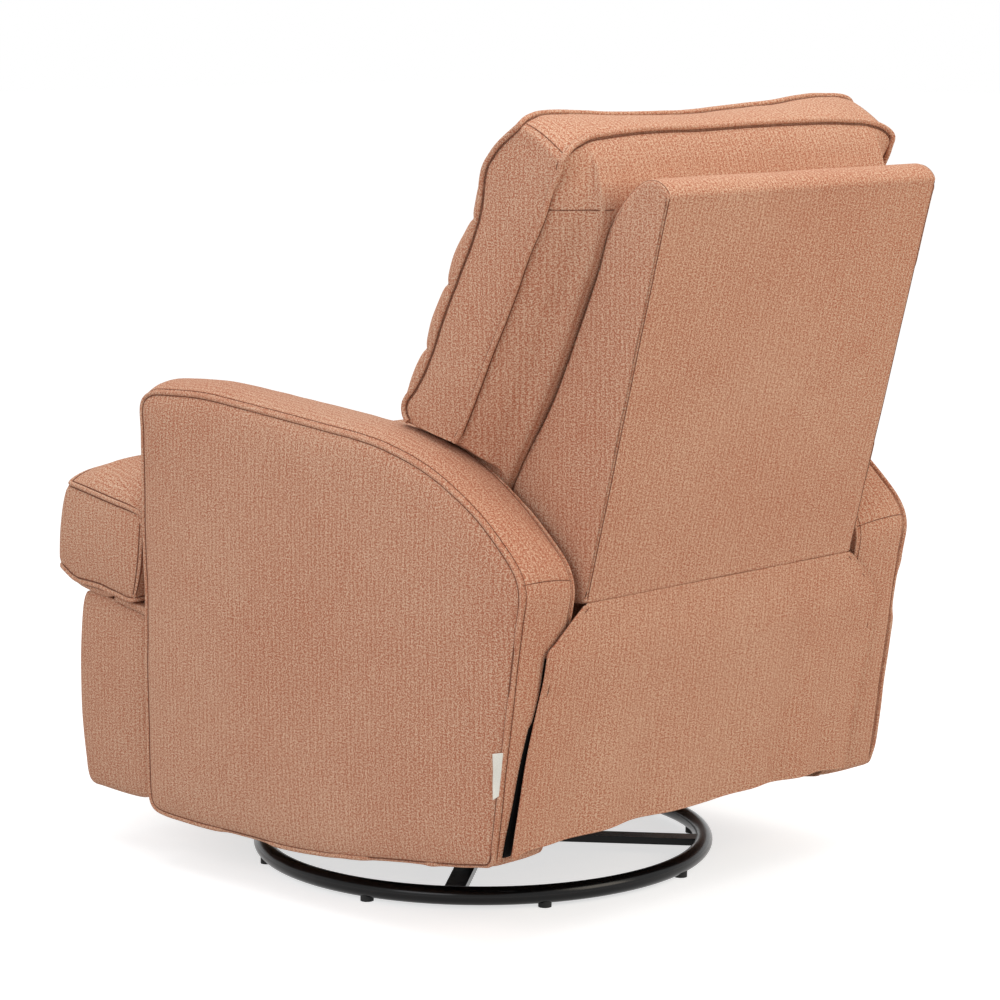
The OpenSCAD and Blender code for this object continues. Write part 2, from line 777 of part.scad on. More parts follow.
// Padding of an arm: the band rises between its seams and the outer panel swells
arm_station_shares = [[0, 0.6], [0.16, 0.85], [0.38, 1], [0.73, 0.75], [0.93, 0.32], [1, 0]];
arm_panel_shares = [[0.55, 0.975], [0.9, 0.93], [1, 0.86]];
module arm_pad() {
  crown_y = 2 * arm_crown * band_share / arm_length;
  crown_z = arm_crown / arm_height;
  inner = arm_inner_x + arm_board_thickness + rest_gap;
  xs = concat([for (s = arm_station_shares) mix(inner, arm_outer_x, s[0])],
    [for (s = arm_panel_shares) arm_outer_x + s[0] * arm_swell]);
  rings = concat(
    [for (s = arm_station_shares) arm_outline(1 + crown_y * s[1], 1 + crown_z * s[1])],
    [for (s = arm_panel_shares) grown(arm_outline(1, 1), arm_middle_y,
      arm_bottom_z + arm_height / 2, s[1], s[1])]);
  skin(xs, rings);
}

module arm_pad_left() {
  color(cloth) arm_pad();
}

module arm_pad_right() {
  color(cloth) mirror([1, 0, 0]) arm_pad();
}

// Small blank tag sewn into the rear seam of the left arm's outer panel, along its lean
tag_thickness = 0.8;
tag_place_share = 0.8;
tag_lift_shares = [0.3, 0.88];
tag_low_share = mix(arm_outline_shares[5], arm_outline_shares[6], tag_place_share);
tag_seam_share = arm_outline_shares[7] - arm_outline_shares[6];
tag_lean = atan2(tag_seam_share[0] * arm_length, tag_seam_share[1] * arm_height);
module blank_tag() {
  rear = arm_outer_x + tag_lift_shares[0] * arm_swell;
  front = arm_outer_x + tag_lift_shares[1] * arm_swell;
  color("white")
    translate([0, arm_front_y + tag_low_share[0] * arm_length, arm_bottom_z + tag_low_share[1] * arm_height])
      rotate([-tag_lean, 0, 0]) linear_extrude(tag_length)
        polygon([[front, -tag_width], [front + tag_thickness, -tag_width],
          [rear + tag_thickness, 0], [rear, 0]]);
}

// Leg rest linkage
module drive_pins() {
  color("silver") both_sides()
    headed_pin(drive_x, link_thickness + layer_gap + mechanism_thickness, drive_pivot);
}

module drive_links() {
  color(steel) both_sides() link_bar(drive_x, drive_pivot, knee_pivot, link_end_radius);
}

// Rod through both knees: thick in the middle, and a pin for the links at each end
module knee_rod() {
  thin = drive_x + link_thickness;
  thick = reach_x - layer_gap;
  color(steel) union() {
    across(-thin, knee_pivot) cylinder(r = pin_radius, h = 2 * thin);
    across(-thick, knee_pivot) cylinder(r = knee_rod_radius, h = 2 * thick);
  }
}

module reach_links() {
  color(steel) both_sides() link_bar(reach_x, knee_pivot, ankle_pivot, link_end_radius);
}

module ankle_pins() {
  color("silver") both_sides()
    inner_headed_pin(bracket_x - run_gap, 2 * link_thickness + layer_gap + run_gap, ankle_pivot);
}

module footrest_brackets() {
  margin = link_end_radius;
  color(steel) both_sides() difference() {
    plate(bracket_x, link_thickness, [
      [footrest_back_y, ankle_pivot[1] - 4 * margin],
      ankle_pivot + [0, -margin],
      ankle_pivot + [margin, -margin / 2],
      ankle_pivot + [margin, margin / 2],
      ankle_pivot + [0, margin],
      [footrest_back_y, ankle_pivot[1] + margin]]);
    pin_hole(bracket_x, link_thickness, ankle_pivot);
  }
}

module footrest_board() {
  half = footrest_width / 2 - footrest_board_margin;
  color(timber)
    translate([-half, footrest_back_y - footrest_board_thickness, footrest_bottom_z + footrest_board_margin / 2])
      cube([2 * half, footrest_board_thickness, 0.9 * footrest_height - footrest_board_margin / 2]);
}

footrest_station_shares = [[0, 1], [0.4, 0.9], [0.75, 0.55], [0.95, 0.1]];
module footrest_pad() {
  half = footrest_width / 2;
  back = footrest_back_y - footrest_board_thickness - rest_gap;
  outline = placed(footrest_outline_shares, footrest_front_y, footrest_bottom_z,
    back - footrest_front_y, footrest_height);
  middle_z = footrest_bottom_z + footrest_height / 2;
  xs = both_ways(concat([for (s = footrest_station_shares) s[0] * half], [half]));
  color(cloth) skin(xs, [for (x = xs)
    let (swell = lookup(abs(x) / half, concat(footrest_station_shares, [[1, 0]])))
    let (end = abs(x) > 0.99 * half ? 0.965 : 1)
    grown(outline, back, middle_z, end * (1 + swell * footrest_swell / footrest_depth), end)]);
}

// Back frame
module back_hinge_pins() {
  color("silver") both_sides()
    headed_pin(mechanism_x, mechanism_thickness + layer_gap + link_thickness, back_pivot);
}

shell_outline = placed(shell_shares, shell_front_y, shell_bottom_z, shell_depth, shell_height);
// Front line of the shell, from the seat to the top, as [z, y] pairs
shell_front_points = concat([shell_outline[0]], [for (i = [len(shell_shares) - 1 : -1 : 6]) shell_outline[i]]);
shell_front_line = [for (p = shell_front_points) [p[1], p[0]]];
shell_rear_low = shell_outline[2];
shell_rear_high = shell_outline[3];
shell_lean = (shell_rear_high[0] - shell_rear_low[0]) / (shell_rear_high[1] - shell_rear_low[1]);

module back_brackets() {
  m = mechanism_margin;
  low = shell_outline[0];
  color(steel) both_sides() difference() {
    plate(back_bracket_x, link_thickness, [
      back_pivot + [-m * 2 / 3, -m / 3],
      back_pivot + [m * 2 / 3, -m / 3],
      low + [m * 2, m / 2],
      low + [m * 3, m * 4],
      low + [m * 3 / 2, m * 4],
      low + [m / 5, 0],
      low + [m / 10, -m * 6 / 5],
      back_pivot + [-m * 2 / 3, m]]);
    pin_hole(back_bracket_x, link_thickness, back_pivot);
  }
}

// Timber cheek: the shell's outline, set in by the cover at the rear and a little in front
cheek_front_inset = strap_thickness + rest_gap;
cheek_outline = concat(
  [[lookup(shell_bottom_z + 2 * cover_thickness, shell_front_line) + cheek_front_inset, shell_bottom_z + 2 * cover_thickness],
   [shell_rear_low[0] + (shell_bottom_z + 2 * cover_thickness - shell_rear_low[1]) * shell_lean - cover_thickness - layer_gap * 2, shell_bottom_z + 2 * cover_thickness],
   [shell_rear_high[0] - 2 * cover_thickness * shell_lean - cover_thickness - layer_gap * 2, shell_rear_high[1] - cover_thickness]],
  [[shell_outline[7][0] + cheek_front_inset + 3 * cover_thickness, shell_rear_high[1] - cover_thickness]],
  [for (i = [7 : 10]) shell_outline[i] + [cheek_front_inset, 0]]);

module back_cheek() {
  plate(back_bracket_x - layer_gap - cheek_thickness, cheek_thickness, cheek_outline);
}

module back_cheek_left() {
  color(timber) back_cheek();
}

module back_cheek_right() {
  color(timber) mirror([1, 0, 0]) back_cheek();
}

batten_depth = 30;
batten_height = 22;
batten_low_lift = 40;
module back_rails() {
  half = back_bracket_x - layer_gap - cheek_thickness - run_gap;
  low_z = shell_bottom_z + batten_low_lift;
  high_z = shell_rear_high[1] - cover_thickness - 1.5 * batten_height;
  color(timber) for (z = [low_z, high_z])
    translate([-half, lookup(z, shell_front_line) + 2.2 * cover_thickness, z])
      cube([2 * half, batten_depth, batten_height]);
}

back_strap_shares = [0.148, 0.353, 0.557, 0.712, 0.847];
module back_webbing() {
  half = back_bracket_x - layer_gap;
  color(webbing) for (k = back_strap_shares) {
    z = shell_bottom_z + k * shell_height;
    y = lookup(z, shell_front_line);
    lean = lookup(z + strap_width / 2, shell_front_line) - lookup(z - strap_width / 2, shell_front_line);
    plate(-half, 2 * half, [
      [y - lean / 2, z - strap_width / 2],
      [y + strap_thickness - lean / 2, z - strap_width / 2],
      [y + strap_thickness + lean / 2, z + strap_width / 2],
      [y + lean / 2, z + strap_width / 2]]);
  }
}

// Covers: one on each side of the wedge, and one down the rear and over the top
module back_side_covers() {
  x = back_bracket_x + link_thickness + layer_gap;
  color(cloth) both_sides() plate(x, shell_half_width - x, shell_outline);
}

module back_rear_cover() {
  half = back_bracket_x + link_thickness + layer_gap - run_gap;
  t = cover_thickness;
  color(cloth) plate(-half, 2 * half, [
    shell_outline[2], shell_outline[3], shell_outline[4], shell_outline[5], shell_outline[6],
    shell_outline[6] + [t / 4, -t], shell_outline[5] + [0, -t],
    shell_outline[4] + [-t / 2, -t], shell_outline[3] + [-t, -t / 3], shell_outline[2] + [-t, t / 4]]);
}

// Back cushion: channels up its front, wings over the arms, shaped by shares of its box
pillow_front_shares = [[0, 0.03], [0.12, 0.0525], [0.22, 0.0825], [0.32, 0.1125], [0.42, 0.155],
  [0.52, 0.225], [0.62, 0.305], [0.72, 0.3875], [0.82, 0.4675], [0.903, 0.525], [0.953, 0.59],
  [0.985, 0.67]];
pillow_wing_rear_shares = [[0.32, 0.3525], [0.538, 0.5075], [0.688, 0.635], [0.823, 0.74],
  [0.895, 0.77], [0.933, 0.805], [0.985, 0.79]];
pillow_start_share = [0.378, 0.004];
pillow_top_shares = [[0.925, 0.905], [0.88, 0.938], [0.808, 0.967]];
channel_count = 6;
channel_low_share = 0.085;
channel_high_share = 0.928;
channel_steps = 4;
wing_front_lift = 1.6;
wing_rear_drop = 77;
wing_end_drop = 23;
arm_top_z = arm_bottom_z + arm_height;
wing_front_share = (arm_top_z + wing_front_lift - pillow_bottom_z) / pillow_height;
wing_rear_low_share = (arm_top_z - wing_rear_drop - pillow_bottom_z) / pillow_height;
wing_end_low_share = (arm_top_z - wing_end_drop - pillow_bottom_z) / pillow_height;

function pillow_y(share) = pillow_front_y + share * pillow_depth;
function pillow_z(share) = pillow_bottom_z + share * pillow_height;

// Heights of the front's points as shares: below, along and above the channels
channel_pitch_share = (channel_high_share - channel_low_share) / channel_count;
pillow_front_list = concat([0, channel_low_share / 2],
  [for (i = [0 : channel_count * channel_steps])
    channel_low_share + channel_pitch_share * i / channel_steps],
  [mix(channel_high_share, 1, 0.6), 1]);
function channel(u) = abs(sin(180 * (u - channel_low_share) / channel_pitch_share));

// Points of the rear: the lower corner, the face on the shell, then the top
shell_face = [for (i = [0 : len(shell_front_points) - 2], j = [0 : channel_steps - 1])
  mix(shell_front_points[i], shell_front_points[i + 1], j / channel_steps)];
pillow_rear_list = concat(
  [[pillow_y(pillow_start_share[0]), pillow_z(pillow_start_share[1])]],
  [for (p = concat(shell_face, [shell_front_points[len(shell_front_points) - 1]])) p - [rest_gap, 0]],
  [for (p = pillow_top_shares) [pillow_y(p[0]), pillow_z(p[1])]]);

// The rear's place at a height: t runs from 0 at the shell to 1 at the wing's rear seam
pillow_center_line = [for (p = pillow_rear_list) [p[1], p[0]]];
function pillow_rear_y(u, t) = mix(lookup(pillow_z(u), pillow_center_line),
  pillow_y(lookup(u, pillow_wing_rear_shares)), u < wing_rear_low_share ? 0 : t);
function pillow_front_y_at(u, puff) =
  pillow_y(lookup(u, pillow_front_shares)) - puff * channel_swell * channel(u);

// One outline of the cushion between the arms
function pillow_body_ring(t) = concat(
  [for (p = pillow_rear_list)
    [pillow_rear_y((p[1] - pillow_bottom_z) / pillow_height, t), p[1]]],
  [for (i = [len(pillow_front_list) - 1 : -1 : 0]) let (u = pillow_front_list[i])
    [pillow_front_y_at(u, 1), pillow_z(u)]]);

// One outline of a wing, whose lower edge runs from its front corner to its rear corner.
// Points of the body that lie lower than the wing gather along that edge.
wing_gather_share = 0.9;
function pillow_wing_ring(puff, t, rear_low, pull) =
  let (front_corner = [pillow_front_y_at(wing_front_share, puff) + pull, pillow_z(wing_front_share)])
  let (rear_corner = [pillow_rear_y(rear_low, t), pillow_z(rear_low)])
  let (middle = (front_corner + rear_corner) / 2)
  concat(
    [for (p = pillow_rear_list) let (u = (p[1] - pillow_bottom_z) / pillow_height)
      u < rear_low ? mix(rear_corner, middle, wing_gather_share * (1 - u / rear_low))
      : [pillow_rear_y(u, t), p[1]]],
    [for (i = [len(pillow_front_list) - 1 : -1 : 0]) let (u = pillow_front_list[i])
      u < wing_front_share
      ? mix(front_corner, middle, wing_gather_share * (1 - u / wing_front_share))
      : [pillow_front_y_at(u, puff) + pull, pillow_z(u)]]);

// Stations over the wings: place, how far the rear has come to the seam, swell of the channels
wing_station_shares = [[0.02, 0.2, 1], [0.5, 0.6, 1], [0.87, 0.95, 0.75], [1, 1, 0.15]];
wing_pull_share = 0.65;
body_station_shares = [0, 0.4, 0.72, 0.93];

module back_cushion() {
  body_x = body_half_width + 2 * cut_over;
  xs = both_ways(concat([for (k = body_station_shares) k * body_x], [body_x],
    [for (w = wing_station_shares) mix(body_x, pillow_half_width, w[0])]));
  place = [for (w = wing_station_shares) [w[0], w[1]]];
  puff = [for (w = wing_station_shares) [w[0], w[2]]];
  color(cloth_light) skin(xs, [for (x = xs)
    let (w = (abs(x) - body_x) / (pillow_half_width - body_x), t = lookup(w, place))
    w < 0 ? pillow_body_ring(0)
    : w == 0 ? pillow_body_ring(t)
    : pillow_wing_ring(lookup(w, puff), t, mix(wing_rear_low_share, wing_end_low_share, t),
        wing_pull_share * channel_swell * (1 - lookup(w, puff)))]);
}

// Rear skirt: cloth that hangs from the shell's lower seam, wider below, with soft folds
skirt_thickness = 2;
skirt_rows_shares = [[0, 0, 0.76], [0.1, -0.006, 0.85], [0.19, -0.012, 0.945], [0.4, -0.05, 0.96],
  [0.6, -0.085, 0.975], [0.8, -0.115, 0.99], [1, -0.14, 1]];
skirt_inset = 38;
skirt_half_width = arm_outer_x - skirt_inset;
skirt_columns = 16;
skirt_fold_count = 5;
function skirt_point(i, j, lift) = let (row = skirt_rows_shares[i])
  let (a = 2 * j / skirt_columns - 1)
  [a * row[2] * skirt_half_width,
   shell_rear_low[0] + row[1] * skirt_drop + lift
     + skirt_fold * row[0] * (1 + sin(180 * skirt_fold_count * a)) / 2,
   shell_rear_low[1] - rest_gap - row[0] * skirt_drop];

module rear_skirt() {
  rows = len(skirt_rows_shares);
  n = skirt_columns + 1;
  points = concat(
    [for (i = [0 : rows - 1], j = [0 : skirt_columns]) skirt_point(i, j, 0)],
    [for (i = [0 : rows - 1], j = [0 : skirt_columns]) skirt_point(i, j, skirt_thickness)]);
  back = rows * n;
  grid = [for (i = [0 : rows - 2], j = [0 : skirt_columns - 1], k = [0 : 3])
    let (a = i * n + j, b = i * n + j + 1, c = (i + 1) * n + j + 1, d = (i + 1) * n + j)
    k == 0 ? [a, c, b] : k == 1 ? [a, d, c]
    : k == 2 ? [back + a, back + b, back + c] : [back + a, back + c, back + d]];
  ends = [for (j = [0 : skirt_columns - 1], k = [0 : 3])
    let (a = j, b = j + 1, c = (rows - 1) * n + j, d = (rows - 1) * n + j + 1)
    k == 0 ? [a, b, back + b] : k == 1 ? [a, back + b, back + a]
    : k == 2 ? [c, back + d, d] : [c, back + c, back + d]];
  sides = [for (i = [0 : rows - 2], k = [0 : 3])
    let (a = i * n, b = (i + 1) * n, c = i * n + skirt_columns, d = (i + 1) * n + skirt_columns)
    k == 0 ? [a, back + b, b] : k == 1 ? [a, back + a, back + b]
    : k == 2 ? [c, d, back + d] : [c, back + d, back + c]];
  color(cloth) polyhedron(points, concat(grid, ends, sides));
}

// Release: a tab that slides up in a guide on the right side rail, beside the cushion
tab_y = -240;
tab_foot_z = 296;
tab_reach = 240;
guide_height = 24;
guide_margin = 6;
tab_x = body_half_width + (side_gap - tab_thickness) / 2;
module release_guide() {
  x = side_rail_x + rail_width;
  z = tab_foot_z + guide_height / 2;
  color(steel) mirror([1, 0, 0]) difference() {
    translate([x, tab_y - tab_width / 2 - guide_margin, z])
      cube([arm_inner_x - x, tab_width + 2 * guide_margin, guide_height]);
    translate([tab_x - rest_gap, tab_y - tab_width / 2 - rest_gap, z - cut_over])
      cube([tab_thickness + 2 * rest_gap, tab_width + 2 * rest_gap, guide_height + 2 * cut_over]);
  }
}

module release_tab() {
  color("#2a2a2c") mirror([1, 0, 0]) union() {
    translate([tab_x, tab_y - tab_width / 2, tab_foot_z])
      cube([tab_thickness, tab_width, tab_reach - tab_width / 2]);
    across(tab_x, [tab_y, tab_foot_z + tab_reach - tab_width / 2])
      cylinder(r = tab_width / 2, h = tab_thickness);
  }
}

base_ring();
cross_bar();
cross_arms();
foot_pads();
swivel_post();
swivel_lower_plate();
bearing_balls();
bearing_cage();
king_pin();
swivel_upper_plate();
glider_rail_left();
glider_rail_right();
glider_cross_front();
glider_cross_rear();
glider_posts();
upper_pivot_pins();
front_swing_links();
rear_swing_links();
hanger_left();
hanger_right();
lower_pivot_pins();
carriage_tube_front();
carriage_tube_rear();
mechanism_plate_left();
mechanism_plate_right();
side_rail_left();
side_rail_right();
front_rail();
rear_rail();
seat_webbing();
front_ledge();
seat_cushion();
arm_brackets();
arm_board_left();
arm_board_right();
arm_pad_left();
arm_pad_right();
blank_tag();
drive_pins();
drive_links();
knee_rod();
reach_links();
ankle_pins();
footrest_brackets();
footrest_board();
footrest_pad();
back_hinge_pins();
back_brackets();
back_cheek_left();
back_cheek_right();
back_rails();
back_webbing();
back_side_covers();
back_rear_cover();
back_cushion();
rear_skirt();
release_guide();
release_tab();
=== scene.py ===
# %% [markdown]
# # A swivel glider recliner, upholstered
# The solids of the chair come from a CAD model and already stand in their places. This script
# dresses them: it gives every metal, timber and plastic part its finish, and it makes the padded
# covers, the welts, the seams and the skirt as new pieces, most of which ride on the same moving
# bodies.

# %% Load the frame
import json
import math
import bpy
import bmesh
import numpy as np
from mathutils import Matrix, Vector, noise
from mathutils.kdtree import KDTree


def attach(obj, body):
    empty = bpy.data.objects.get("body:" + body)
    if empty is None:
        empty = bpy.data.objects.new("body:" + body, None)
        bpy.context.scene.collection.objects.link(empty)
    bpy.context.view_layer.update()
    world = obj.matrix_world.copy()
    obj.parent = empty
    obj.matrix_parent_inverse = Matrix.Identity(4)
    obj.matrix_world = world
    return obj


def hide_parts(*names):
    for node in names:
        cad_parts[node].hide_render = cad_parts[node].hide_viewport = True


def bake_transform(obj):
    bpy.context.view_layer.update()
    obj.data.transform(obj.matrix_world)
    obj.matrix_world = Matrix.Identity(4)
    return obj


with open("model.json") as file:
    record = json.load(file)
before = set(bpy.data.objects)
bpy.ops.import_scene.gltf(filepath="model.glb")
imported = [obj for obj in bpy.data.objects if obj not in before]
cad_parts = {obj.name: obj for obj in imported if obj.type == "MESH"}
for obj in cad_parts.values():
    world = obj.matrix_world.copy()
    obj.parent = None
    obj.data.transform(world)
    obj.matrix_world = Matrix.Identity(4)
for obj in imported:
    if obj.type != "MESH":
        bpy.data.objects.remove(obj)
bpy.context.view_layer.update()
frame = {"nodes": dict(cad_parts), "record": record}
nodes = frame["nodes"]

# %% [markdown]
# ## The camera
# The photograph was taken from behind the chair's left arm, a little above its seat, with a long
# lens. A camera needs only a place, a point to look at and a lens. Long lenses flatten the view,
# so the place is more than four metres away.

# %% Camera
LENS, SENSOR = 115.75, 36.0
CAMERA_PLACE, CAMERA_AIM = (3.1712, 3.0482, 1.1918), (0.0144, 0.0006, 0.5052)


def new_object(name, data):
    """An object in the scene that holds a mesh, a lamp or a lens."""
    made = bpy.data.objects.new(name, data)
    bpy.context.scene.collection.objects.link(made)
    return made


def stand(made, place, aim_at):
    """Stands a camera or a lamp at a place and turns it to a point."""
    made.location = place
    made.rotation_euler = (Vector(aim_at) - Vector(place)).to_track_quat("-Z", "Y").to_euler()
    return made


camera_data = bpy.data.cameras.new("camera")
camera_data.lens, camera_data.sensor_width = LENS, SENSOR
camera = stand(new_object("camera", camera_data), CAMERA_PLACE, CAMERA_AIM)
bpy.context.scene.camera = camera
print("camera is", round((Vector(CAMERA_AIM) - camera.location).length, 3), "m from its aim")

# %% [markdown]
# ## Small helpers for node trees
# Every finish below is a tree of shader nodes. A few helpers keep the trees short: they add a
# node and set its sockets, start a material with its main shader, colour it and give it relief.

# %% Helpers for materials
def add_node(tree, kind, links=None, **values):
    """Adds a node. Values are its properties, and links are values or sockets for its inputs."""
    made = tree.nodes.new(kind)
    for name, value in values.items():
        setattr(made, name, value)
    for name, value in (links or {}).items():
        if isinstance(value, bpy.types.NodeSocket):
            tree.links.new(value, made.inputs[name])
        else:
            made.inputs[name].default_value = value
    return made


def maths(tree, operation, *values):
    """The result of a Math node on numbers and sockets."""
    made = add_node(tree, "ShaderNodeMath", dict(enumerate(values)), operation=operation)
    return made.outputs[0]


def start_finish(name, sockets):
    """A new material with a Principled shader, and nothing else in its tree."""
    finish = bpy.data.materials.new(name)
    finish.use_nodes = True
    tree = finish.node_tree
    tree.nodes.clear()
    output = tree.nodes.new("ShaderNodeOutputMaterial")
    shader = add_node(tree, "ShaderNodeBsdfPrincipled", sockets)
    tree.links.new(shader.outputs["BSDF"], output.inputs["Surface"])
    return finish, tree, shader


def add_colour(tree, shader, value, stops):
    """Colours the shader by a value from 0 to 1, between stops of a position and a colour."""
    ramp = add_node(tree, "ShaderNodeValToRGB", {"Fac": value})
    made = ramp.color_ramp.elements
    for k, (position, colour) in enumerate((stops[0], stops[-1])):
        made[k].position, made[k].color = position, colour
    for position, colour in stops[1:-1]:
        made.new(position).color = colour
    tree.links.new(ramp.outputs["Color"], shader.inputs["Base Color"])


def add_relief(tree, shader, height, strength, depth):
    """Bumps the shader by a height, with a depth in metres."""
    bump = add_node(tree, "ShaderNodeBump",
                    {"Strength": strength, "Distance": depth, "Height": height})
    tree.links.new(bump.outputs["Normal"], shader.inputs["Normal"])


def srgb(red, green, blue):
    """A colour as it reads on screen, 0 to 255, turned into the linear one that shaders use."""
    linear = [c / 3294.6 if c <= 10.3 else ((c / 255 + 0.055) / 1.055) ** 2.4
              for c in (red, green, blue)]
    return (*linear, 1.0)


# %% [markdown]
# ## Cover fabric
# The cover is a soft woven cloth in a warm terracotta, with slubs: short thick places in the yarn
# that show as pale and dark flecks along the grain. Noise that is stretched along the grain makes
# such flecks and longer streaks, a finer noise makes the yarn, a wave makes the faint ribs, and a
# broad noise lets the tone drift. They read a UV map in metres, so that their size is true on
# every piece. Noise is chosen because it never repeats, as a picture of cloth would.

# %% Fabric finish
def stretched_noise(tree, grain, across, along, detail=2.0):
    """Noise in the cloth's own UVs: streaks per metre across the grain and along it."""
    scaled = add_node(tree, "ShaderNodeMapping", {"Vector": grain, "Scale": (across, along, 1)})
    made = add_node(tree, "ShaderNodeTexNoise", {"Vector": scaled.outputs[0], "Scale": 1.0,
                                                 "Detail": detail, "Roughness": 0.55})
    return made.outputs["Fac"]


def make_cloth(name, dark, middle, light):
    """A woven cloth in three tones, each of them an srgb colour."""
    finish, tree, shader = start_finish(name, {
        "Roughness": 0.9, "Sheen Weight": 0.16, "Sheen Roughness": 0.5,
        "Sheen Tint": srgb(250, 206, 178), "Specular IOR Level": 0.2})
    grain = add_node(tree, "ShaderNodeUVMap", uv_map="weave").outputs["UV"]
    slub = stretched_noise(tree, grain, 450, 370)
    streak = stretched_noise(tree, grain, 340, 28)
    yarn = stretched_noise(tree, grain, 500, 540, 1.0)
    place = add_node(tree, "ShaderNodeTexCoord").outputs["Object"]
    drift = add_node(tree, "ShaderNodeTexNoise", {"Vector": place, "Scale": 4.0, "Detail": 2.0})
    rib = add_node(tree, "ShaderNodeTexWave",
                   {"Vector": grain, "Scale": 40.0, "Distortion": 2.6, "Detail": 2.0,
                    "Detail Scale": 1.6}, wave_type="BANDS", bands_direction="X")
    thread = maths(tree, "MULTIPLY", yarn, 1.3)
    cord = maths(tree, "MULTIPLY_ADD", rib.outputs["Fac"], 0.1, thread)
    weave = maths(tree, "MULTIPLY_ADD", slub, 0.85, cord)
    tone = maths(tree, "MULTIPLY_ADD", streak, 0.28, weave)
    total = maths(tree, "MULTIPLY_ADD", drift.outputs["Fac"], 0.17, tone)
    scaled = add_node(tree, "ShaderNodeMapRange",
                      {"Value": total, "From Min": 1.085, "From Max": 1.605})
    add_colour(tree, shader, scaled.outputs["Result"],
               [(0.1, srgb(*dark)), (0.5, srgb(*middle)), (0.9, srgb(*light))])
    add_relief(tree, shader, weave, 0.5, 0.001)
    return finish


cover = make_cloth("cover_cloth", (166, 98, 72), (190, 138, 110), (212, 178, 152))
# A darker copy of the cloth, laid as thin cords in seams, creases and valleys, paints the shade
# that gathers there.
painted_seam_shade = make_cloth("seam_shadow_cloth", (96, 54, 40), (116, 74, 56), (136, 94, 74))
print("made", cover.name, "and", painted_seam_shade.name)

# %% [markdown]
# ## Metal, timber, rubber and plastic
# The base is round tube with a gloss black powder coat, the mechanism is plain dark steel with
# zinc plated pins, the frame is softwood, and the rest is rubber, webbing and moulded plastic.
# Each of them is a plain colour broken up by noise, with its roughness and relief tied to it.

# %% Hard finishes
def hard(name, low, high, roughness, size, metallic=0.0, stretch=(1, 1, 1), relief=0.1,
         coat=0.0, specular=0.5):
    """A plain finish between two srgb colours, with noise of a size in cells per metre."""
    finish, tree, shader = start_finish(name, {
        "Roughness": roughness, "Metallic": metallic, "Specular IOR Level": specular,
        "Coat Weight": coat, "Coat Roughness": 0.08})
    place = add_node(tree, "ShaderNodeTexCoord").outputs["Object"]
    scaled = add_node(tree, "ShaderNodeMapping", {"Vector": place, "Scale": stretch})
    grain = add_node(tree, "ShaderNodeTexNoise", {
        "Vector": scaled.outputs[0], "Scale": size, "Detail": 4.0, "Roughness": 0.6}).outputs["Fac"]
    add_colour(tree, shader, grain, [(0.32, srgb(*low)), (0.68, srgb(*high))])
    dull = add_node(tree, "ShaderNodeMapRange", {
        "Value": grain, "To Min": roughness - 0.05, "To Max": roughness + 0.05})
    tree.links.new(dull.outputs["Result"], shader.inputs["Roughness"])
    add_relief(tree, shader, grain, relief, 0.0005)
    return finish


finishes = {
    "gloss_black": hard("gloss_black_paint", (6, 6, 7), (11, 11, 12), 0.22, 140.0, relief=0.06,
                        coat=0.06, specular=0.24),
    "dark_steel": hard("dark_steel", (62, 64, 68), (84, 86, 90), 0.42, 90.0, 0.8),
    "zinc_steel": hard("zinc_plate", (170, 170, 164), (202, 202, 196), 0.3, 220.0, 1.0),
    "ball_steel": hard("ball_steel", (196, 198, 202), (214, 216, 220), 0.12, 300.0, 1.0),
    "cage_plastic": hard("cage_plastic", (206, 204, 196), (220, 218, 210), 0.5, 200.0),
    "pad_rubber": hard("pad_rubber", (22, 22, 22), (36, 36, 36), 0.8, 400.0, relief=0.3),
    "frame_wood": hard("frame_timber", (172, 132, 88), (214, 180, 134), 0.7, 14.0,
                       stretch=(6, 1, 6), relief=0.3),
    "web_fabric": hard("webbing", (70, 60, 50), (104, 92, 78), 0.85, 700.0, relief=0.6),
    "tag_fabric": hard("tag_ribbon", (214, 212, 202), (232, 230, 220), 0.8, 900.0, relief=0.4),
    "tab_plastic": hard("tab_plastic", (38, 38, 40), (52, 52, 54), 0.5, 260.0),
    "cover_fabric": cover,
}
# A flat black finish that paints the deep shadow in the gap between the skirt's edge and the arm.
gap_shadow_finish = hard("gap_shadow_black", (3, 3, 3), (9, 9, 9), 0.9, 900.0, relief=0.3, specular=0.1)
print("hard finishes:", len(finishes) - 1)

# %% [markdown]
# ## Finishes on the CAD parts
# The record names a material slot for each CAD node, so the finishes are laid on by that name.
# The soft nodes get the cloth too, though a padded piece will stand for each of them later.

# %% Dress the CAD nodes
slot_of = {row["node"]: row["material_slot"] for row in frame["record"]["subparts"]}
for part, solid in nodes.items():
    solid.data.materials.clear()
    solid.data.materials.append(finishes[slot_of.get(part, "dark_steel")])
print("dressed", len(nodes), "CAD nodes;", len(slot_of), "named in the record")

# %% [markdown]
# ## Floor
# The chair stands on a plain white studio floor that runs on as the backdrop. The floor glows for
# the lens and for what glossy paint mirrors, so that it reads as white, and it stays a soft grey
# for all other light, so that the chair still throws a shadow on it.

# %% Floor
WHITE, FLOOR_REACH = (1, 1, 1, 1), 30


def seen_directly(tree):
    """A socket that is 1 for rays from the lens or a mirror, and 0 for all others."""
    path = add_node(tree, "ShaderNodeLightPath").outputs
    return maths(tree, "MAXIMUM", path["Is Camera Ray"], path["Is Glossy Ray"])


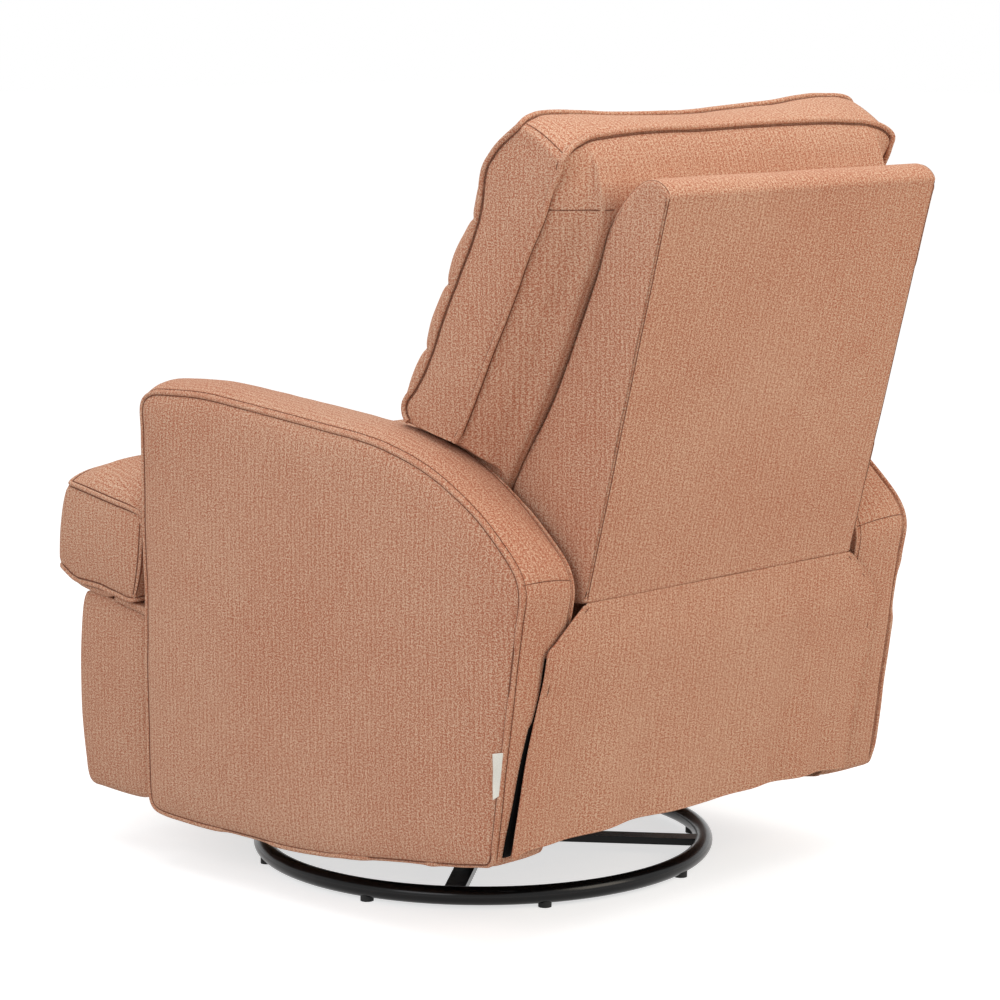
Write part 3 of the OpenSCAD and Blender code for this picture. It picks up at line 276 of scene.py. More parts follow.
def make_floor_finish():
    """A matt floor that also glows where it is seen directly."""
    finish, tree, shader = start_finish("studio_floor", {
        "Roughness": 0.9, "Base Color": (0.62, 0.62, 0.62, 1), "Specular IOR Level": 0.0})
    output = next(n for n in tree.nodes if n.type == "OUTPUT_MATERIAL")
    glow = add_node(tree, "ShaderNodeEmission", {"Color": WHITE, "Strength": 0.66})
    both = add_node(tree, "ShaderNodeAddShader", {0: shader.outputs[0], 1: glow.outputs[0]})
    shown = add_node(tree, "ShaderNodeMixShader", {0: seen_directly(tree), 1: shader.outputs[0],
                                                   2: both.outputs[0]})
    tree.links.new(shown.outputs[0], output.inputs["Surface"])
    return finish


floor_mesh = bpy.data.meshes.new("studio_floor")
floor_mesh.from_pydata([(x * FLOOR_REACH, y * FLOOR_REACH, 0)
                        for x, y in ((-1, -1), (1, -1), (1, 1), (-1, 1))], [], [(0, 1, 2, 3)])
floor_mesh.materials.append(make_floor_finish())
studio_floor = new_object("studio_floor", floor_mesh)
print("floor reaches", FLOOR_REACH, "m to each side")

# %% [markdown]
# ## World and lamps
# A product photograph is lit by large soft boxes in a white room. The world is white where it is
# seen, and softer as a source of light. Three square lamps do the modelling: one overhead, one
# beside the chair, and a warmer one behind it, which is nearest to the panels that show most.

# %% World and lamps
world = bpy.data.worlds.new("studio")
bpy.context.scene.world = world
world.use_nodes = True
world_tree = world.node_tree
world_tree.nodes.clear()
world_out = world_tree.nodes.new("ShaderNodeOutputWorld")
level = add_node(world_tree, "ShaderNodeMapRange", {
    "Value": seen_directly(world_tree), "To Min": 0.62, "To Max": 1.0})
backdrop = add_node(world_tree, "ShaderNodeBackground", {
    "Color": WHITE, "Strength": level.outputs["Result"]})
world_tree.links.new(backdrop.outputs[0], world_out.inputs["Surface"])


def soft_lamp(name, place, aim_at, size, power, colour=(1, 1, 1)):
    """A square lamp of a size in metres and a power in watts."""
    lamp = bpy.data.lights.new(name, "AREA")
    lamp.shape, lamp.size, lamp.energy, lamp.color = "SQUARE", size, power, colour
    return stand(new_object(name, lamp), place, aim_at)


soft_lamp("overhead_softbox", (0.4, 0.2, 3.4), (0, 0, 0.5), 2.6, 43)
soft_lamp("side_softbox", (3.6, 1.0, 2.2), (0, 0, 0.5), 2.0, 40, (0.97, 0.97, 1.0))
soft_lamp("rear_softbox", (-0.9, 3.3, 2.0), (0, 0, 0.75), 1.8, 42, (1.0, 0.88, 0.73))
bpy.context.scene.view_settings.view_transform = "Standard"
print("stage ready")

# %% [markdown]
# ## Curves and tables
# Upholstery is cut from outlines, so the shapes below start as a few points in millimetres, and
# a smooth curve runs through them. A centripetal spline is used because it never overshoots at a
# tight corner. A second helper reads a smooth value from a short table of shares.

# %% Helpers for curves
def spline_span(a, b, c, d, steps):
    """Points from b to c, on the curve that also runs through a and d."""
    gaps = [max(np.linalg.norm(q - p), 1e-9) ** 0.5 for p, q in ((a, b), (b, c), (c, d))]
    knots = np.cumsum([0] + gaps)
    t = np.linspace(knots[1], knots[2], steps, endpoint=False)[:, None]

    def between(p, q, low, high):
        low, high = knots[low], knots[high]
        return (high - t) / (high - low) * p + (t - low) / (high - low) * q

    first, second, third = between(a, b, 0, 1), between(b, c, 1, 2), between(c, d, 2, 3)
    return between(between(first, second, 0, 2), between(second, third, 1, 3), 1, 2)


def even(points, count, closed=False):
    """The same line with evenly spaced points."""
    p = np.array(points, float)
    if closed:
        p = np.vstack([p, p[:1]])
    along = np.concatenate([[0], np.cumsum(np.linalg.norm(np.diff(p, axis=0), axis=1))])
    wanted = np.linspace(0, along[-1], count + 1 if closed else count)
    line = np.column_stack([np.interp(wanted, along, p[:, k]) for k in range(p.shape[1])])
    return line[:-1] if closed else line


def smooth_loop(points, count):
    """A closed smooth curve through the points, evenly spaced."""
    p = np.array(points, float)
    p = np.vstack([p[-1:], p, p[:2]])
    spans = [spline_span(*p[i:i + 4], 12) for i in range(len(p) - 3)]
    return even(np.vstack(spans), count, closed=True)


def table(rows):
    """A function that reads a smooth value between the rows, without overshoot."""
    x, y = np.array(rows, float).T
    step, slope = np.diff(x), np.diff(y) / np.diff(x)
    lean = np.concatenate([[slope[0]], np.zeros(len(x) - 2), [slope[-1]]])
    for i in range(1, len(x) - 1):
        if slope[i - 1] * slope[i] > 0:
            lean[i] = 2 * slope[i - 1] * slope[i] / (slope[i - 1] + slope[i])

    def read(value):
        v = np.clip(value, x[0], x[-1])
        i = np.clip(np.searchsorted(x, v, side="right") - 1, 0, len(step) - 1)
        t = (v - x[i]) / step[i]
        return ((2 * t**3 - 3 * t**2 + 1) * y[i] + (t**3 - 2 * t**2 + t) * step[i] * lean[i]
                + (3 * t**2 - 2 * t**3) * y[i + 1] + (t**3 - t**2) * step[i] * lean[i + 1])

    return read


def mix(a, b, t):
    """The value at a share t of the way from a to b."""
    return a + (b - a) * t


def at_x(x, side_view):
    """The points (y, z) of a side view, stood at a place across the chair."""
    return np.column_stack([np.full(len(side_view), x), side_view])


def both_ways(xs):
    """Places from 0 to the left, with the same ones on the right, from right to left."""
    return [-x for x in reversed(xs[1:])] + list(xs)


# %% [markdown]
# ## Skins
# A padded cover is a closed skin. Most covers here are lofted: outlines of the side view stand
# one beside another across the chair and are joined by quads. The ends are closed either by
# triangles to a tip, for a panel that swells, or by a grid, for a narrow side band.

# %% A mesh from points
MM = 0.001


def add_piece(name, points, faces, finish):
    """A mesh object at the origin, from points in millimetres, with its faces turned outward."""
    mesh = bpy.data.meshes.new(name)
    mesh.from_pydata([tuple(p) for p in np.array(points) * MM], [], faces)
    shape = bmesh.new()
    shape.from_mesh(mesh)
    bmesh.ops.remove_doubles(shape, verts=shape.verts, dist=1e-6)
    bmesh.ops.recalc_face_normals(shape, faces=shape.faces)
    shape.to_mesh(mesh)
    shape.free()
    mesh.shade_smooth()
    mesh.materials.append(finish)
    return new_object(name, mesh)


# %% Lofts and their ends
def loft(rings):
    """Points and side faces of rings of equal length."""
    count = len(rings[0])
    faces = []
    for i in range(len(rings) - 1):
        here, there = i * count, (i + 1) * count
        faces += [(here + j, there + j, there + (j + 1) % count, here + (j + 1) % count)
                  for j in range(count)]
    return np.vstack(rings), faces


def tipped(rings, tips):
    """A loft with each end closed by triangles to a tip."""
    points, faces = loft(rings)
    count = len(rings[0])
    for start, tip in zip((0, len(points) - count), tips):
        points = np.vstack([points, tip])
        faces += [(start + j, start + (j + 1) % count, len(points) - 1) for j in range(count)]
    return points, faces


def close_grid(points, faces, start, along, across, bulge):
    """Closes a ring of sides along, across, along, across with a grid that bulges along X."""
    ring = list(range(start, start + 2 * (along + across)))
    side_a, side_b = ring[:along + 1], ring[along:along + across + 1]
    side_c = ring[along + across:2 * along + across + 1][::-1]
    side_d = (ring[2 * along + across:] + ring[:1])[::-1]
    place = np.zeros((along + 1, across + 1), int)
    place[:, 0], place[:, across], place[along], place[0] = side_a, side_c, side_b, side_d
    extra = []
    for i in range(1, along):
        for j in range(1, across):
            s, t = i / along, j / across
            corners = ((1 - s) * (1 - t) * points[side_a[0]] + (1 - s) * t * points[side_c[0]]
                       + s * (1 - t) * points[side_a[-1]] + s * t * points[side_c[-1]])
            spot = ((1 - t) * points[side_a[i]] + t * points[side_c[i]]
                    + (1 - s) * points[side_d[j]] + s * points[side_b[j]] - corners)
            rise = (1 - (2 * s - 1) ** 4) * (1 - (2 * t - 1) ** 2)
            place[i, j] = len(points) + len(extra)
            extra.append(spot + np.array([bulge * rise, 0, 0]))
    place = place.tolist()
    faces += [(place[i][j], place[i + 1][j], place[i + 1][j + 1], place[i][j + 1])
              for i in range(along) for j in range(across)]
    return np.vstack([points, extra]), faces


def boxed(rings, along, across, bulge):
    """A loft with each end closed by a grid that bulges outward."""
    points, faces = loft(rings)
    for start, swell in ((0, -bulge), (len(points) - len(rings[0]), bulge)):
        points, faces = close_grid(points, faces, start, along, across, swell)
    return points, faces


# %% [markdown]
# ## Changes to a skin
# A stuffed cover is never quite even, so soft noise moves its points in and out a little, along
# their normals. The points are read and written as one array, which is much faster in Blender
# than one vertex at a time. A modifier's result can be made plain, and a twin is a mirror copy.

# %% Helpers for skins
def skin_of(piece):
    """The places and the normals of a skin's points, in metres."""
    mesh = piece.data
    spots, out = np.zeros(len(mesh.vertices) * 3), np.zeros(len(mesh.vertices) * 3)
    mesh.vertices.foreach_get("co", spots)
    mesh.vertices.foreach_get("normal", out)
    return spots.reshape(-1, 3), out.reshape(-1, 3)


def move_skin(piece, spots):
    """Puts a skin's points at new places, in metres."""
    piece.data.vertices.foreach_set("co", spots.ravel())
    piece.data.update()
    return piece


def ripple(piece, amount, size, seed):
    """Moves the skin in and out by soft noise, as padding does under a cover."""
    spots, out = skin_of(piece)
    shift = Vector((seed * 7.3, seed * 3.1, seed * 1.7))
    swell = np.array([noise.noise(Vector(p) + shift) for p in spots / (size * MM)])
    return move_skin(piece, spots + out * (swell * amount * MM)[:, None])


def mirrored(piece, name):
    """A copy on the chair's other side."""
    mesh = piece.data.copy()
    mesh.name = name
    mesh.transform(Matrix.Scale(-1, 4, (1, 0, 0)))
    mesh.flip_normals()
    return new_object(name, mesh)


def make_plain(piece):
    """Turns a piece's modifiers into plain geometry."""
    bpy.context.view_layer.update()
    graph = bpy.context.evaluated_depsgraph_get()
    piece.data = bpy.data.meshes.new_from_object(piece.evaluated_get(graph))
    piece.modifiers.clear()


def measure(piece):
    """Prints a piece's faces and its box."""
    spots = skin_of(piece)[0] / MM
    print(piece.name, "faces", len(piece.data.polygons), "from", spots.min(0).round(1), "to",
          spots.max(0).round(1), "mm")
    return piece


# %% [markdown]
# ## The grain
# Cloth is cut so that its grain runs up each panel. A UV map says where on the cloth each corner
# of a face lies. Here it is made by looking at each face square on, from one of five directions,
# and reading its place in metres. That needs no unwrapping, and the grain never stretches.

# %% A UV map in metres
DIAGONAL = 0.5**0.5


def lay_grain(piece):
    """Lays the grain up each upright face, and along the chair on each level one."""
    mesh = piece.data
    corner = np.zeros(len(mesh.loops), int)
    mesh.loops.foreach_get("vertex_index", corner)
    sides = np.zeros(len(mesh.polygons), int)
    mesh.polygons.foreach_get("loop_total", sides)
    normal = np.zeros(len(mesh.polygons) * 3)
    mesh.polygons.foreach_get("normal", normal)
    nx, ny, nz = normal.reshape(-1, 3).T
    views = np.abs([nx, ny, nz, (nx + ny) * DIAGONAL, (nx - ny) * DIAGONAL])
    facing = np.repeat(np.argmax(views, axis=0), sides)
    x, y, z = skin_of(piece)[0][corner].T
    u = np.choose(facing, [y, x, x, (x - y) * DIAGONAL, (x + y) * DIAGONAL])
    v = np.where(facing == 2, y, z)
    layer = mesh.uv_layers.get("weave") or mesh.uv_layers.new(name="weave")
    layer.data.foreach_set("uv", np.column_stack([u, v]).ravel())
    return piece


# %% [markdown]
# ## Welts and seams
# A welt is a thin cord in a folded strip of the cover, sewn between two panels. A plain seam is
# only a fine dark line in a shallow valley: a cord of darker cloth that paints the valley's shade.
# Both follow paths, so one Geometry Nodes tree sews them all: a path becomes a curve, is spaced
# evenly, and carries a round profile.

# %% A tree that sews along paths
STITCH_STEP = 0.004


def make_sewing_tree():
    """The tree's inputs are a path, a cord's radius, the spacing along it and its finish."""
    tree = bpy.data.node_groups.new("sew_along_path", "GeometryNodeTree")
    for name, kind in (("Path", "Geometry"), ("Radius", "Float"), ("Spacing", "Float"),
                       ("Finish", "Material")):
        tree.interface.new_socket(name, in_out="INPUT", socket_type="NodeSocket" + kind)
    tree.interface.new_socket("Welt", in_out="OUTPUT", socket_type="NodeSocketGeometry")
    given = tree.nodes.new("NodeGroupInput").outputs
    curve = add_node(tree, "GeometryNodeMeshToCurve", {0: given["Path"]})
    spaced = add_node(tree, "GeometryNodeResampleCurve", {
        "Curve": curve.outputs[0], "Length": given["Spacing"]}, mode="LENGTH")
    profile = add_node(tree, "GeometryNodeCurvePrimitiveCircle", {
        "Resolution": 10, "Radius": given["Radius"]})
    tube = add_node(tree, "GeometryNodeCurveToMesh", {
        "Curve": spaced.outputs[0], "Profile Curve": profile.outputs[0], "Fill Caps": True})
    smooth = add_node(tree, "GeometryNodeSetShadeSmooth", {"Geometry": tube.outputs[0]})
    plain = add_node(tree, "GeometryNodeRealizeInstances", {"Geometry": smooth.outputs[0]})
    coloured = add_node(tree, "GeometryNodeSetMaterial", {
        "Geometry": plain.outputs[0], "Material": given["Finish"]})
    result = tree.nodes.new("NodeGroupOutput")
    tree.links.new(coloured.outputs[0], result.inputs[0])
    return tree


sewing_tree = make_sewing_tree()
print("made", sewing_tree.name, "with", len(sewing_tree.nodes), "nodes")


# %% Sewing a piece
def sewn(name, paths, radius, finish):
    """One piece with a round cord along each path. A path is (points in metres, closed)."""
    points, edges = [], []
    for line, closed in paths:
        start, count = len(points), len(line)
        points += [tuple(p) for p in line]
        edges += [(start + i, start + i + 1) for i in range(count - 1)]
        if closed:
            edges.append((start + count - 1, start))
    seed = bpy.data.meshes.new(name)
    seed.from_pydata(points, edges, [])
    piece = new_object(name, seed)
    modifier = piece.modifiers.new("sew", "NODES")
    modifier.node_group = sewing_tree
    inputs = {"Radius": radius, "Spacing": STITCH_STEP, "Finish": finish}
    for item in sewing_tree.interface.items_tree:
        if item.in_out == "INPUT" and item.name in inputs:
            modifier[item.identifier] = inputs[item.name]
    make_plain(piece)
    piece.data.name = name
    lay_grain(piece)
    print(name, "faces", len(piece.data.polygons), "paths", len(paths))
    return piece


def sew(name, paths, radius, finish, body):
    """The same, on a body."""
    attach(sewn(name, paths, radius, finish), body)


# %% [markdown]
# ## Paths on a skin
# A seam pulls its panels in, and its cord lies in the valley. So the skin is sunk along the paths
# first, and then each path is laid on the finished skin, lifted off it a little where it is a
# welt. Where the skin is too curved for the nearest place to be the right one, a path follows
# the skin's own points from the shape that they had at rest.

# %% Paths and valleys
def tree_of(spots):
    """A search tree over points in metres."""
    tree = KDTree(len(spots))
    for i, p in enumerate(spots):
        tree.insert(Vector(p), i)
    tree.balance()
    return tree


def across_line(points, closed=False):
    """A path of points in millimetres, spaced about 4 mm apart."""
    p = np.array(points, float)
    ends = np.vstack([p, p[:1]]) if closed else p
    long = np.linalg.norm(np.diff(ends, axis=0), axis=1).sum()
    return even(p, max(int(long / 4), 8), closed), closed


def sink(piece, paths, depth, width):
    """Pulls the skin in along the paths, in a valley of a depth and half width in millimetres."""
    tree = tree_of([Vector(p) * MM for line, _ in paths for p in line])
    spots, out = skin_of(piece)
    far = np.array([tree.find(Vector(p))[2] for p in spots]) / MM
    return move_skin(piece, spots - out * (depth * np.exp(-(far / width) ** 2) * MM)[:, None])


# %% Laying paths on a skin
def soften(spots, closed, times):
    """Evens out a path, with its ends held."""
    for _ in range(times):
        if closed:
            spots = (np.roll(spots, 1, axis=0) + 2 * spots + np.roll(spots, -1, axis=0)) / 4
        else:
            spots[1:-1] = (spots[:-2] + 2 * spots[1:-1] + spots[2:]) / 4
    return spots


def lay_on(piece, paths, lift):
    """The paths moved onto the skin, and off it by a lift in millimetres. Result in metres."""
    skin, out = skin_of(piece)
    tree = tree_of(skin)
    laid = []
    for line, closed in paths:
        spots = []
        for p in line:
            spot = np.array(piece.closest_point_on_mesh(Vector(p) * MM)[1])
            push = sum(out[i] / (d + 1e-4) for _, i, d in tree.find_n(Vector(spot), 4))
            spots.append(spot + push / np.linalg.norm(push) * (lift * MM))
        laid.append((soften(np.array(spots), closed, 2), closed))
    return laid


def follow(piece, paths, lift, rest):
    """The paths carried by the skin's own points from a rest shape, and lifted, in metres."""
    tree = tree_of(rest)
    now, out = skin_of(piece)
    laid = []
    for line, closed in paths:
        spots = []
        for p in line:
            near = tree.find_n(Vector(p) * MM, 8)
            index = [i for _, i, _ in near]
            pull = np.array([1 / (d + 1e-3) for _, _, d in near])[:, None]
            push = (out[index] * pull).sum(0)
            moved = ((now[index] - rest[index]) * pull).sum(0) / pull.sum()
            spots.append(p * MM + moved + push / np.linalg.norm(push) * (lift * MM))
        laid.append((soften(np.array(spots), closed, 4), closed))
    return laid


# %% A welt with its creases
CREASE_OFF, CREASE_RADIUS = 0.9, 0.001


def pipe(name, piece, paths, radius, body, lift, rest=None):
    """A welt along paths on a piece, with a dark cord on both sides that paints the shade of its
    creases.
    """
    lay = lay_on if rest is None else lambda *more: follow(*more, rest)
    laid, above = lay(piece, paths, lift), lay(piece, paths, lift + 1)
    sew(name + "_welts", laid, radius * MM, cover, body)
    creases = []
    for (line, closed), (higher, _) in zip(laid, above):
        aside = np.cross(np.gradient(line, axis=0), higher - line)
        aside *= (radius + CREASE_OFF) * MM / np.linalg.norm(aside, axis=1)[:, None]
        creases += [((line + aside) / MM, closed), ((line - aside) / MM, closed)]
    # The dark cords at both sides of the welt are painted shade in its creases.
    sew(name + "_creases", lay_on(piece, creases, 0.2), CREASE_RADIUS, painted_seam_shade,
        body)


# %% [markdown]
# ## Arms
# An arm is a board with padding round it. Its cover has an inner panel, a wide band that runs
# over the top and down the ends, and an outer panel. The band is crowned between its seams, so
# it is highest at mid-width, and the outer panel swells a little and dips into its seam. Rings
# that follow the outline give all of this in one skin. The outline is a loop of shares of the
# arm's length and height.

# %% The arm's outline
ARM_FRONT, ARM_LENGTH, ARM_BOTTOM, ARM_HEIGHT = -318.5, 709.0, 75.0, 591.0
ARM_INNER, ARM_OUTER, ARM_CROWN = 284.6, 385.0, 14
ARM_SHARES = [(0.027, 0.007), (0.299, 0), (0.46, 0.004), (0.72, 0.039), (0.86, 0.062),
              (0.905, 0.071), (0.92, 0.0745), (0.925, 0.081), (0.928, 0.1), (0.933, 0.14),
              (0.949, 0.271), (0.973, 0.447), (0.991, 0.587), (1, 0.662), (0.99, 0.702),
              (0.941, 0.765), (0.877, 0.827), (0.767, 0.904), (0.657, 0.944), (0.528, 0.963),
              (0.394, 0.978), (0.255, 0.993), (0.171, 1), (0.069, 0.998), (0.024, 0.992),
              (0, 0.973), (0, 0.893), (0.002, 0.45), (0.006, 0.029), (0.014, 0.014)]
BAND_SHARES = [0, 0.012, 0.03, 0.06, 0.1, 0.15, 0.2, 0.27, 0.35, 0.43, 0.51, 0.59, 0.67, 0.74,
               0.81, 0.86, 0.9, 0.935, 0.965, 0.985, 1]
PANEL_DEEP = 300
PANEL_SHARES = [0.997, 0.99, 0.98, 0.965, 0.945, 0.92, 0.88, 0.83, 0.76, 0.68, 0.58, 0.47, 0.35,
                0.22, 0.1]
arm_outline = smooth_loop([(ARM_FRONT + y * ARM_LENGTH, ARM_BOTTOM + z * ARM_HEIGHT)
                           for y, z in ARM_SHARES], 420)
arm_foot = np.array([ARM_FRONT + ARM_LENGTH / 2, ARM_BOTTOM])
arm_centre = np.array([arm_foot[0], ARM_BOTTOM + ARM_HEIGHT / 2])
band_rise = table([(0, 0), (0.03, 0.16), (0.1, 0.5), (0.19, 0.72), (0.36, 0.95), (0.5, 1),
                   (0.7, 0.86), (0.86, 0.52), (0.94, 0.26), (0.98, 0.08), (1, 0)])
panel_swell = table([(0, 0), (4, 2.2), (14, 5.2), (32, 8.0), (70, 10.2), (160, 11.5), (300, 12)])
# From y 170 on the band is flatter, and it stands 7.5 mm further out at its outer seam and 2.2 mm
# less far at its inner seam, as the padding settles there.
REAR_FROM, REAR_LONG, REAR_FLATTER, REAR_OUT, REAR_IN = 170, 160, 0.6, 7.5, 2.2
rear_share = np.clip((arm_outline[:, 0] - REAR_FROM) / REAR_LONG, 0, 1)
rear_share = rear_share**2 * (3 - 2 * rear_share)
print("arm outline has", len(arm_outline), "points")


# %% Rings of the arm
def arm_ring(x, rise=0.0, share=1.0):
    """The outline at a place across the arm, raised to a share of the crown and drawn in."""
    lift = rise * (1 - REAR_FLATTER * rear_share)
    grow = np.column_stack([1 + 2 * ARM_CROWN * 0.7 / ARM_LENGTH * lift,
                            1 + ARM_CROWN / ARM_HEIGHT * lift])
    ring = arm_foot + (arm_outline - arm_foot) * grow
    inward = min(max((ARM_OUTER - x) / (ARM_OUTER - ARM_INNER), 0), 1) ** 1.2
    away = (ring - arm_foot) / np.linalg.norm(ring - arm_foot, axis=1)[:, None]
    out = REAR_OUT * (1 - inward) - REAR_IN * inward
    ring = ring + away * (out * rear_share)[:, None]
    return at_x(x, arm_centre + (ring - arm_centre) * share)


def band_ring(t):
    """The ring at a share of the band's width."""
    return arm_ring(mix(ARM_INNER, ARM_OUTER, t), band_rise(t))


print("arm band is", round(ARM_OUTER - ARM_INNER, 1), "mm wide")

# %% Arm covers
rings = [arm_ring(ARM_INNER, share=s) for s in reversed(PANEL_SHARES)]
rings += [band_ring(t) for t in BAND_SHARES]
rings += [arm_ring(ARM_OUTER + panel_swell((1 - s) * PANEL_DEEP), share=s) for s in PANEL_SHARES]
points, faces = tipped(rings, [(ARM_INNER, *arm_centre),
                               (ARM_OUTER + panel_swell(PANEL_DEEP), *arm_centre)])
arm_left = ripple(add_piece("arm_cover_left", points, faces, cover), 1.3, 100, 1)
ripple(arm_left, 0.5, 32, 2)
outer_seam = [(arm_ring(ARM_OUTER), True)]
inner_seam = [(arm_ring(ARM_INNER + 1.0, band_rise(0.01)), True)]
sink(arm_left, outer_seam, 2.2, 6.5)
sink(arm_left, inner_seam, 1.4, 5)
# The inner panel stays between the seat cushion and the timber board. These are metres.
INNER_ZONE, SEAT_SIDE, BOARD_SIDE = 0.2886, 0.2834, 0.2843
for v in arm_left.data.vertices:
    if v.co.x < INNER_ZONE:
        v.co.x = max(v.co.x, SEAT_SIDE)
        if v.normal.x < -0.5:
            v.co.x = min(v.co.x, BOARD_SIDE)
arm_right = mirrored(arm_left, "arm_cover_right")
for piece, part in ((arm_left, "arm_pad_left"), (arm_right, "arm_pad_right")):
    measure(lay_grain(piece))
    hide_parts(part)
    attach(piece, "chassis")

# %% [markdown]
# ## Arm welts
# A stout welt runs round the arm's outer seam, and a thinner one round its inner seam. Beside each
# lies a fine dark cord that paints the shade along its stitches, and another such cord crosses the
# band at the rear, where the top's strip meets the rear's. A thin dark cord paints the shade in the
# valley between welt and outer panel.

# %% Arm welts
CROSS_SEAM_Y, CROSS_SEAM_Z = 389, 478
band_start = int(np.argmin(np.hypot(arm_outline[:, 0] - CROSS_SEAM_Y,
                                    arm_outline[:, 1] - CROSS_SEAM_Z)))
cross_seam = across_line([band_ring(t)[band_start] for t in np.linspace(0.03, 0.97, 30)])
SHADE_LINE_OFF, VALLEY_SHARE = 7, 0.9905
# Fine dark cords paint the shade along the stitches beside each welt and along the cross seam.
seam_shade_lines = [(arm_ring(ARM_OUTER - SHADE_LINE_OFF, band_rise(0.93)), True),
              (arm_ring(ARM_INNER + SHADE_LINE_OFF + 0.5, band_rise(0.075)), True), cross_seam]
# A dark cord paints the shade in the valley between the outer welt and the panel.
valley = [(arm_ring(ARM_OUTER + 1, share=VALLEY_SHARE), True)]
for side, word, piece in ((1, "left", arm_left), (-1, "right", arm_right)):
    for name, paths, lift, radius, finish in (
            ("arm_welt_outer_", outer_seam, 1.6, 0.0031, cover),
            ("arm_welt_inner_", inner_seam, 0.5, 0.0021, cover),
            ("arm_seam_shade_", seam_shade_lines, 0, 0.0006, painted_seam_shade),
            ("arm_valley_shade_", valley, 0.1, 0.0012, painted_seam_shade)):
        turned = [(p * np.array([side, 1, 1]), closed) for p, closed in paths]
        sew(name + word, lay_on(piece, turned, lift), radius, finish, "chassis")

# %% [markdown]
# ## Seat cushion
# The seat is a boxed cushion in the shape of a T: between the arms it runs back to the pillow,
# and its two ears wrap round the arms' fronts. It has a crowned top, a bottom and a boxing strip
# between two welts. Each side view is a closed ring of four sides, and a grid closes the ears.
# Along the cushion, lengths run from its front edge to its rear.

# %% Measures of the seat cushion
SEAT_HALF, BODY_HALF, THICK_HALF = 372, 279, 60.0
CUSHION_LONG, EAR_LONG, SEAT_ALONG, SEAT_ACROSS = 630.0, 161.5, 90, 14
SEAT_FRONT_Y, SEAT_FRONT_Z, BEND, STEEP, FLAT, DIP = -511, 453, 168, 0.205, 0.11, 0.57
SEAT_CROWN, FRONT_BOW, REAR_BOW, BELLY_FROM, EAR_TUCK = 50, 8, 6.5, 7, 0.03
body_crown = table([(0, 0.5), (6, 0.6), (15, 0.7), (35, 0.93), (90, 0.93), (189, 0.95),
                    (441, 0.8), (554, 0.3), (630, 0.05)])
ear_crown = table([(0, 0.5), (6, 0.6), (15, 0.7), (35, 0.93), (90, 0.93), (120, 0.8), (145, 0.3),
                   (161.5, 0.05)])
ear_lift = table([(0, 5), (100, 8.5), (161.5, 12), (190, 12)])
edge_sag = table([(0, 0), (12, 3), (25, 7), (40, 8.5), (60, 5), (90, 0)])
belly_sag = table([(0, 0), (8, 5), (20, 11), (34, 16), (52, 18.5), (74, 17.5), (94, 15), (112, 8),
                   (120, 2), (128, 0)])
side_share = table([(0, 0.965), (0.012, 1), (0.9, 1), (0.97, 0.97), (1, 0.9)])
print("seat cushion is", 2 * SEAT_HALF, "by", CUSHION_LONG, "mm")


# %% Rings of the seat cushion
def cushion_spot(s, up):
    """A point of the side view: s along the cushion, up across its middle line."""
    s, up = np.asarray(s, float), np.asarray(up, float)
    fall = mix(STEEP, FLAT, 1 / (1 + np.exp(-(s - BEND) / 9)))
    z = np.where(s < BEND, SEAT_FRONT_Z - STEEP * s,
                 SEAT_FRONT_Z - STEEP * BEND - FLAT * (s - BEND))
    z = z - DIP * np.exp(-((s - BEND) / 14) ** 2)
    lean = np.sqrt(1 + fall**2)
    return np.column_stack([SEAT_FRONT_Y + s + up * fall / lean, z + up / lean])


def cushion_ring(x, long, draw=1.0):
    """The side view at a place across the chair: bottom, rear, top and front."""
    crown = body_crown if long == CUSHION_LONG else ear_crown
    at_end = min(abs(x) / SEAT_HALF, 1) ** 12
    p = 0.5 - 0.5 * np.cos(np.linspace(0, np.pi, SEAT_ALONG + 1))
    p = mix(np.linspace(0, 1, SEAT_ALONG + 1), p, 0.75)
    q = np.linspace(0, 1, SEAT_ACROSS + 1)[1:-1]
    inside = min(1, max(0, (SEAT_HALF - abs(x)) / BELLY_FROM)) ** 0.6
    sag = mix(edge_sag(p * long), belly_sag(p * long), inside)

    def half(p):
        return THICK_HALF * side_share(p) * draw

    def high(p):
        swell = SEAT_CROWN * (1 - at_end) * crown(p * long)
        return half(p) + swell + at_end * ear_lift(p * long)

    bow = np.sin(np.pi * q) ** 0.7
    bottom = cushion_spot(p * long, -half(p) - sag)
    rear = cushion_spot(long + REAR_BOW * bow, mix(-half(1), high(1), q))
    top = cushion_spot(p[::-1] * long, high(p[::-1]))
    front = cushion_spot(-FRONT_BOW * bow * draw, mix(high(0), -half(0), q))
    return at_x(x, np.vstack([bottom, rear, top, front]))


def long_at(x):
    """The cushion's length at a place across the chair: the body's or an ear's."""
    return CUSHION_LONG if abs(x) <= BODY_HALF else EAR_LONG


# %% Seat cushion
body_xs = [0, 25, 50, 75, 100, 125, 150, 175, 200, 220, 240, 255, 266, 273, 277, BODY_HALF]
ear_xs = [279.6, 284, 291, 300, 311, 323, 335, 346, 355, 362, 367, 370.4, SEAT_HALF]
rings = [cushion_ring(x, long_at(x), 1 - EAR_TUCK * np.exp(-(SEAT_HALF - abs(x)) / 5))
         for x in both_ways(body_xs + ear_xs)]
points, faces = boxed(rings, SEAT_ALONG, SEAT_ACROSS, 6)
seat = ripple(add_piece("seat_cushion_cover", points, faces, cover), 1.8, 120, 5)
ripple(seat, 0.6, 30, 6)
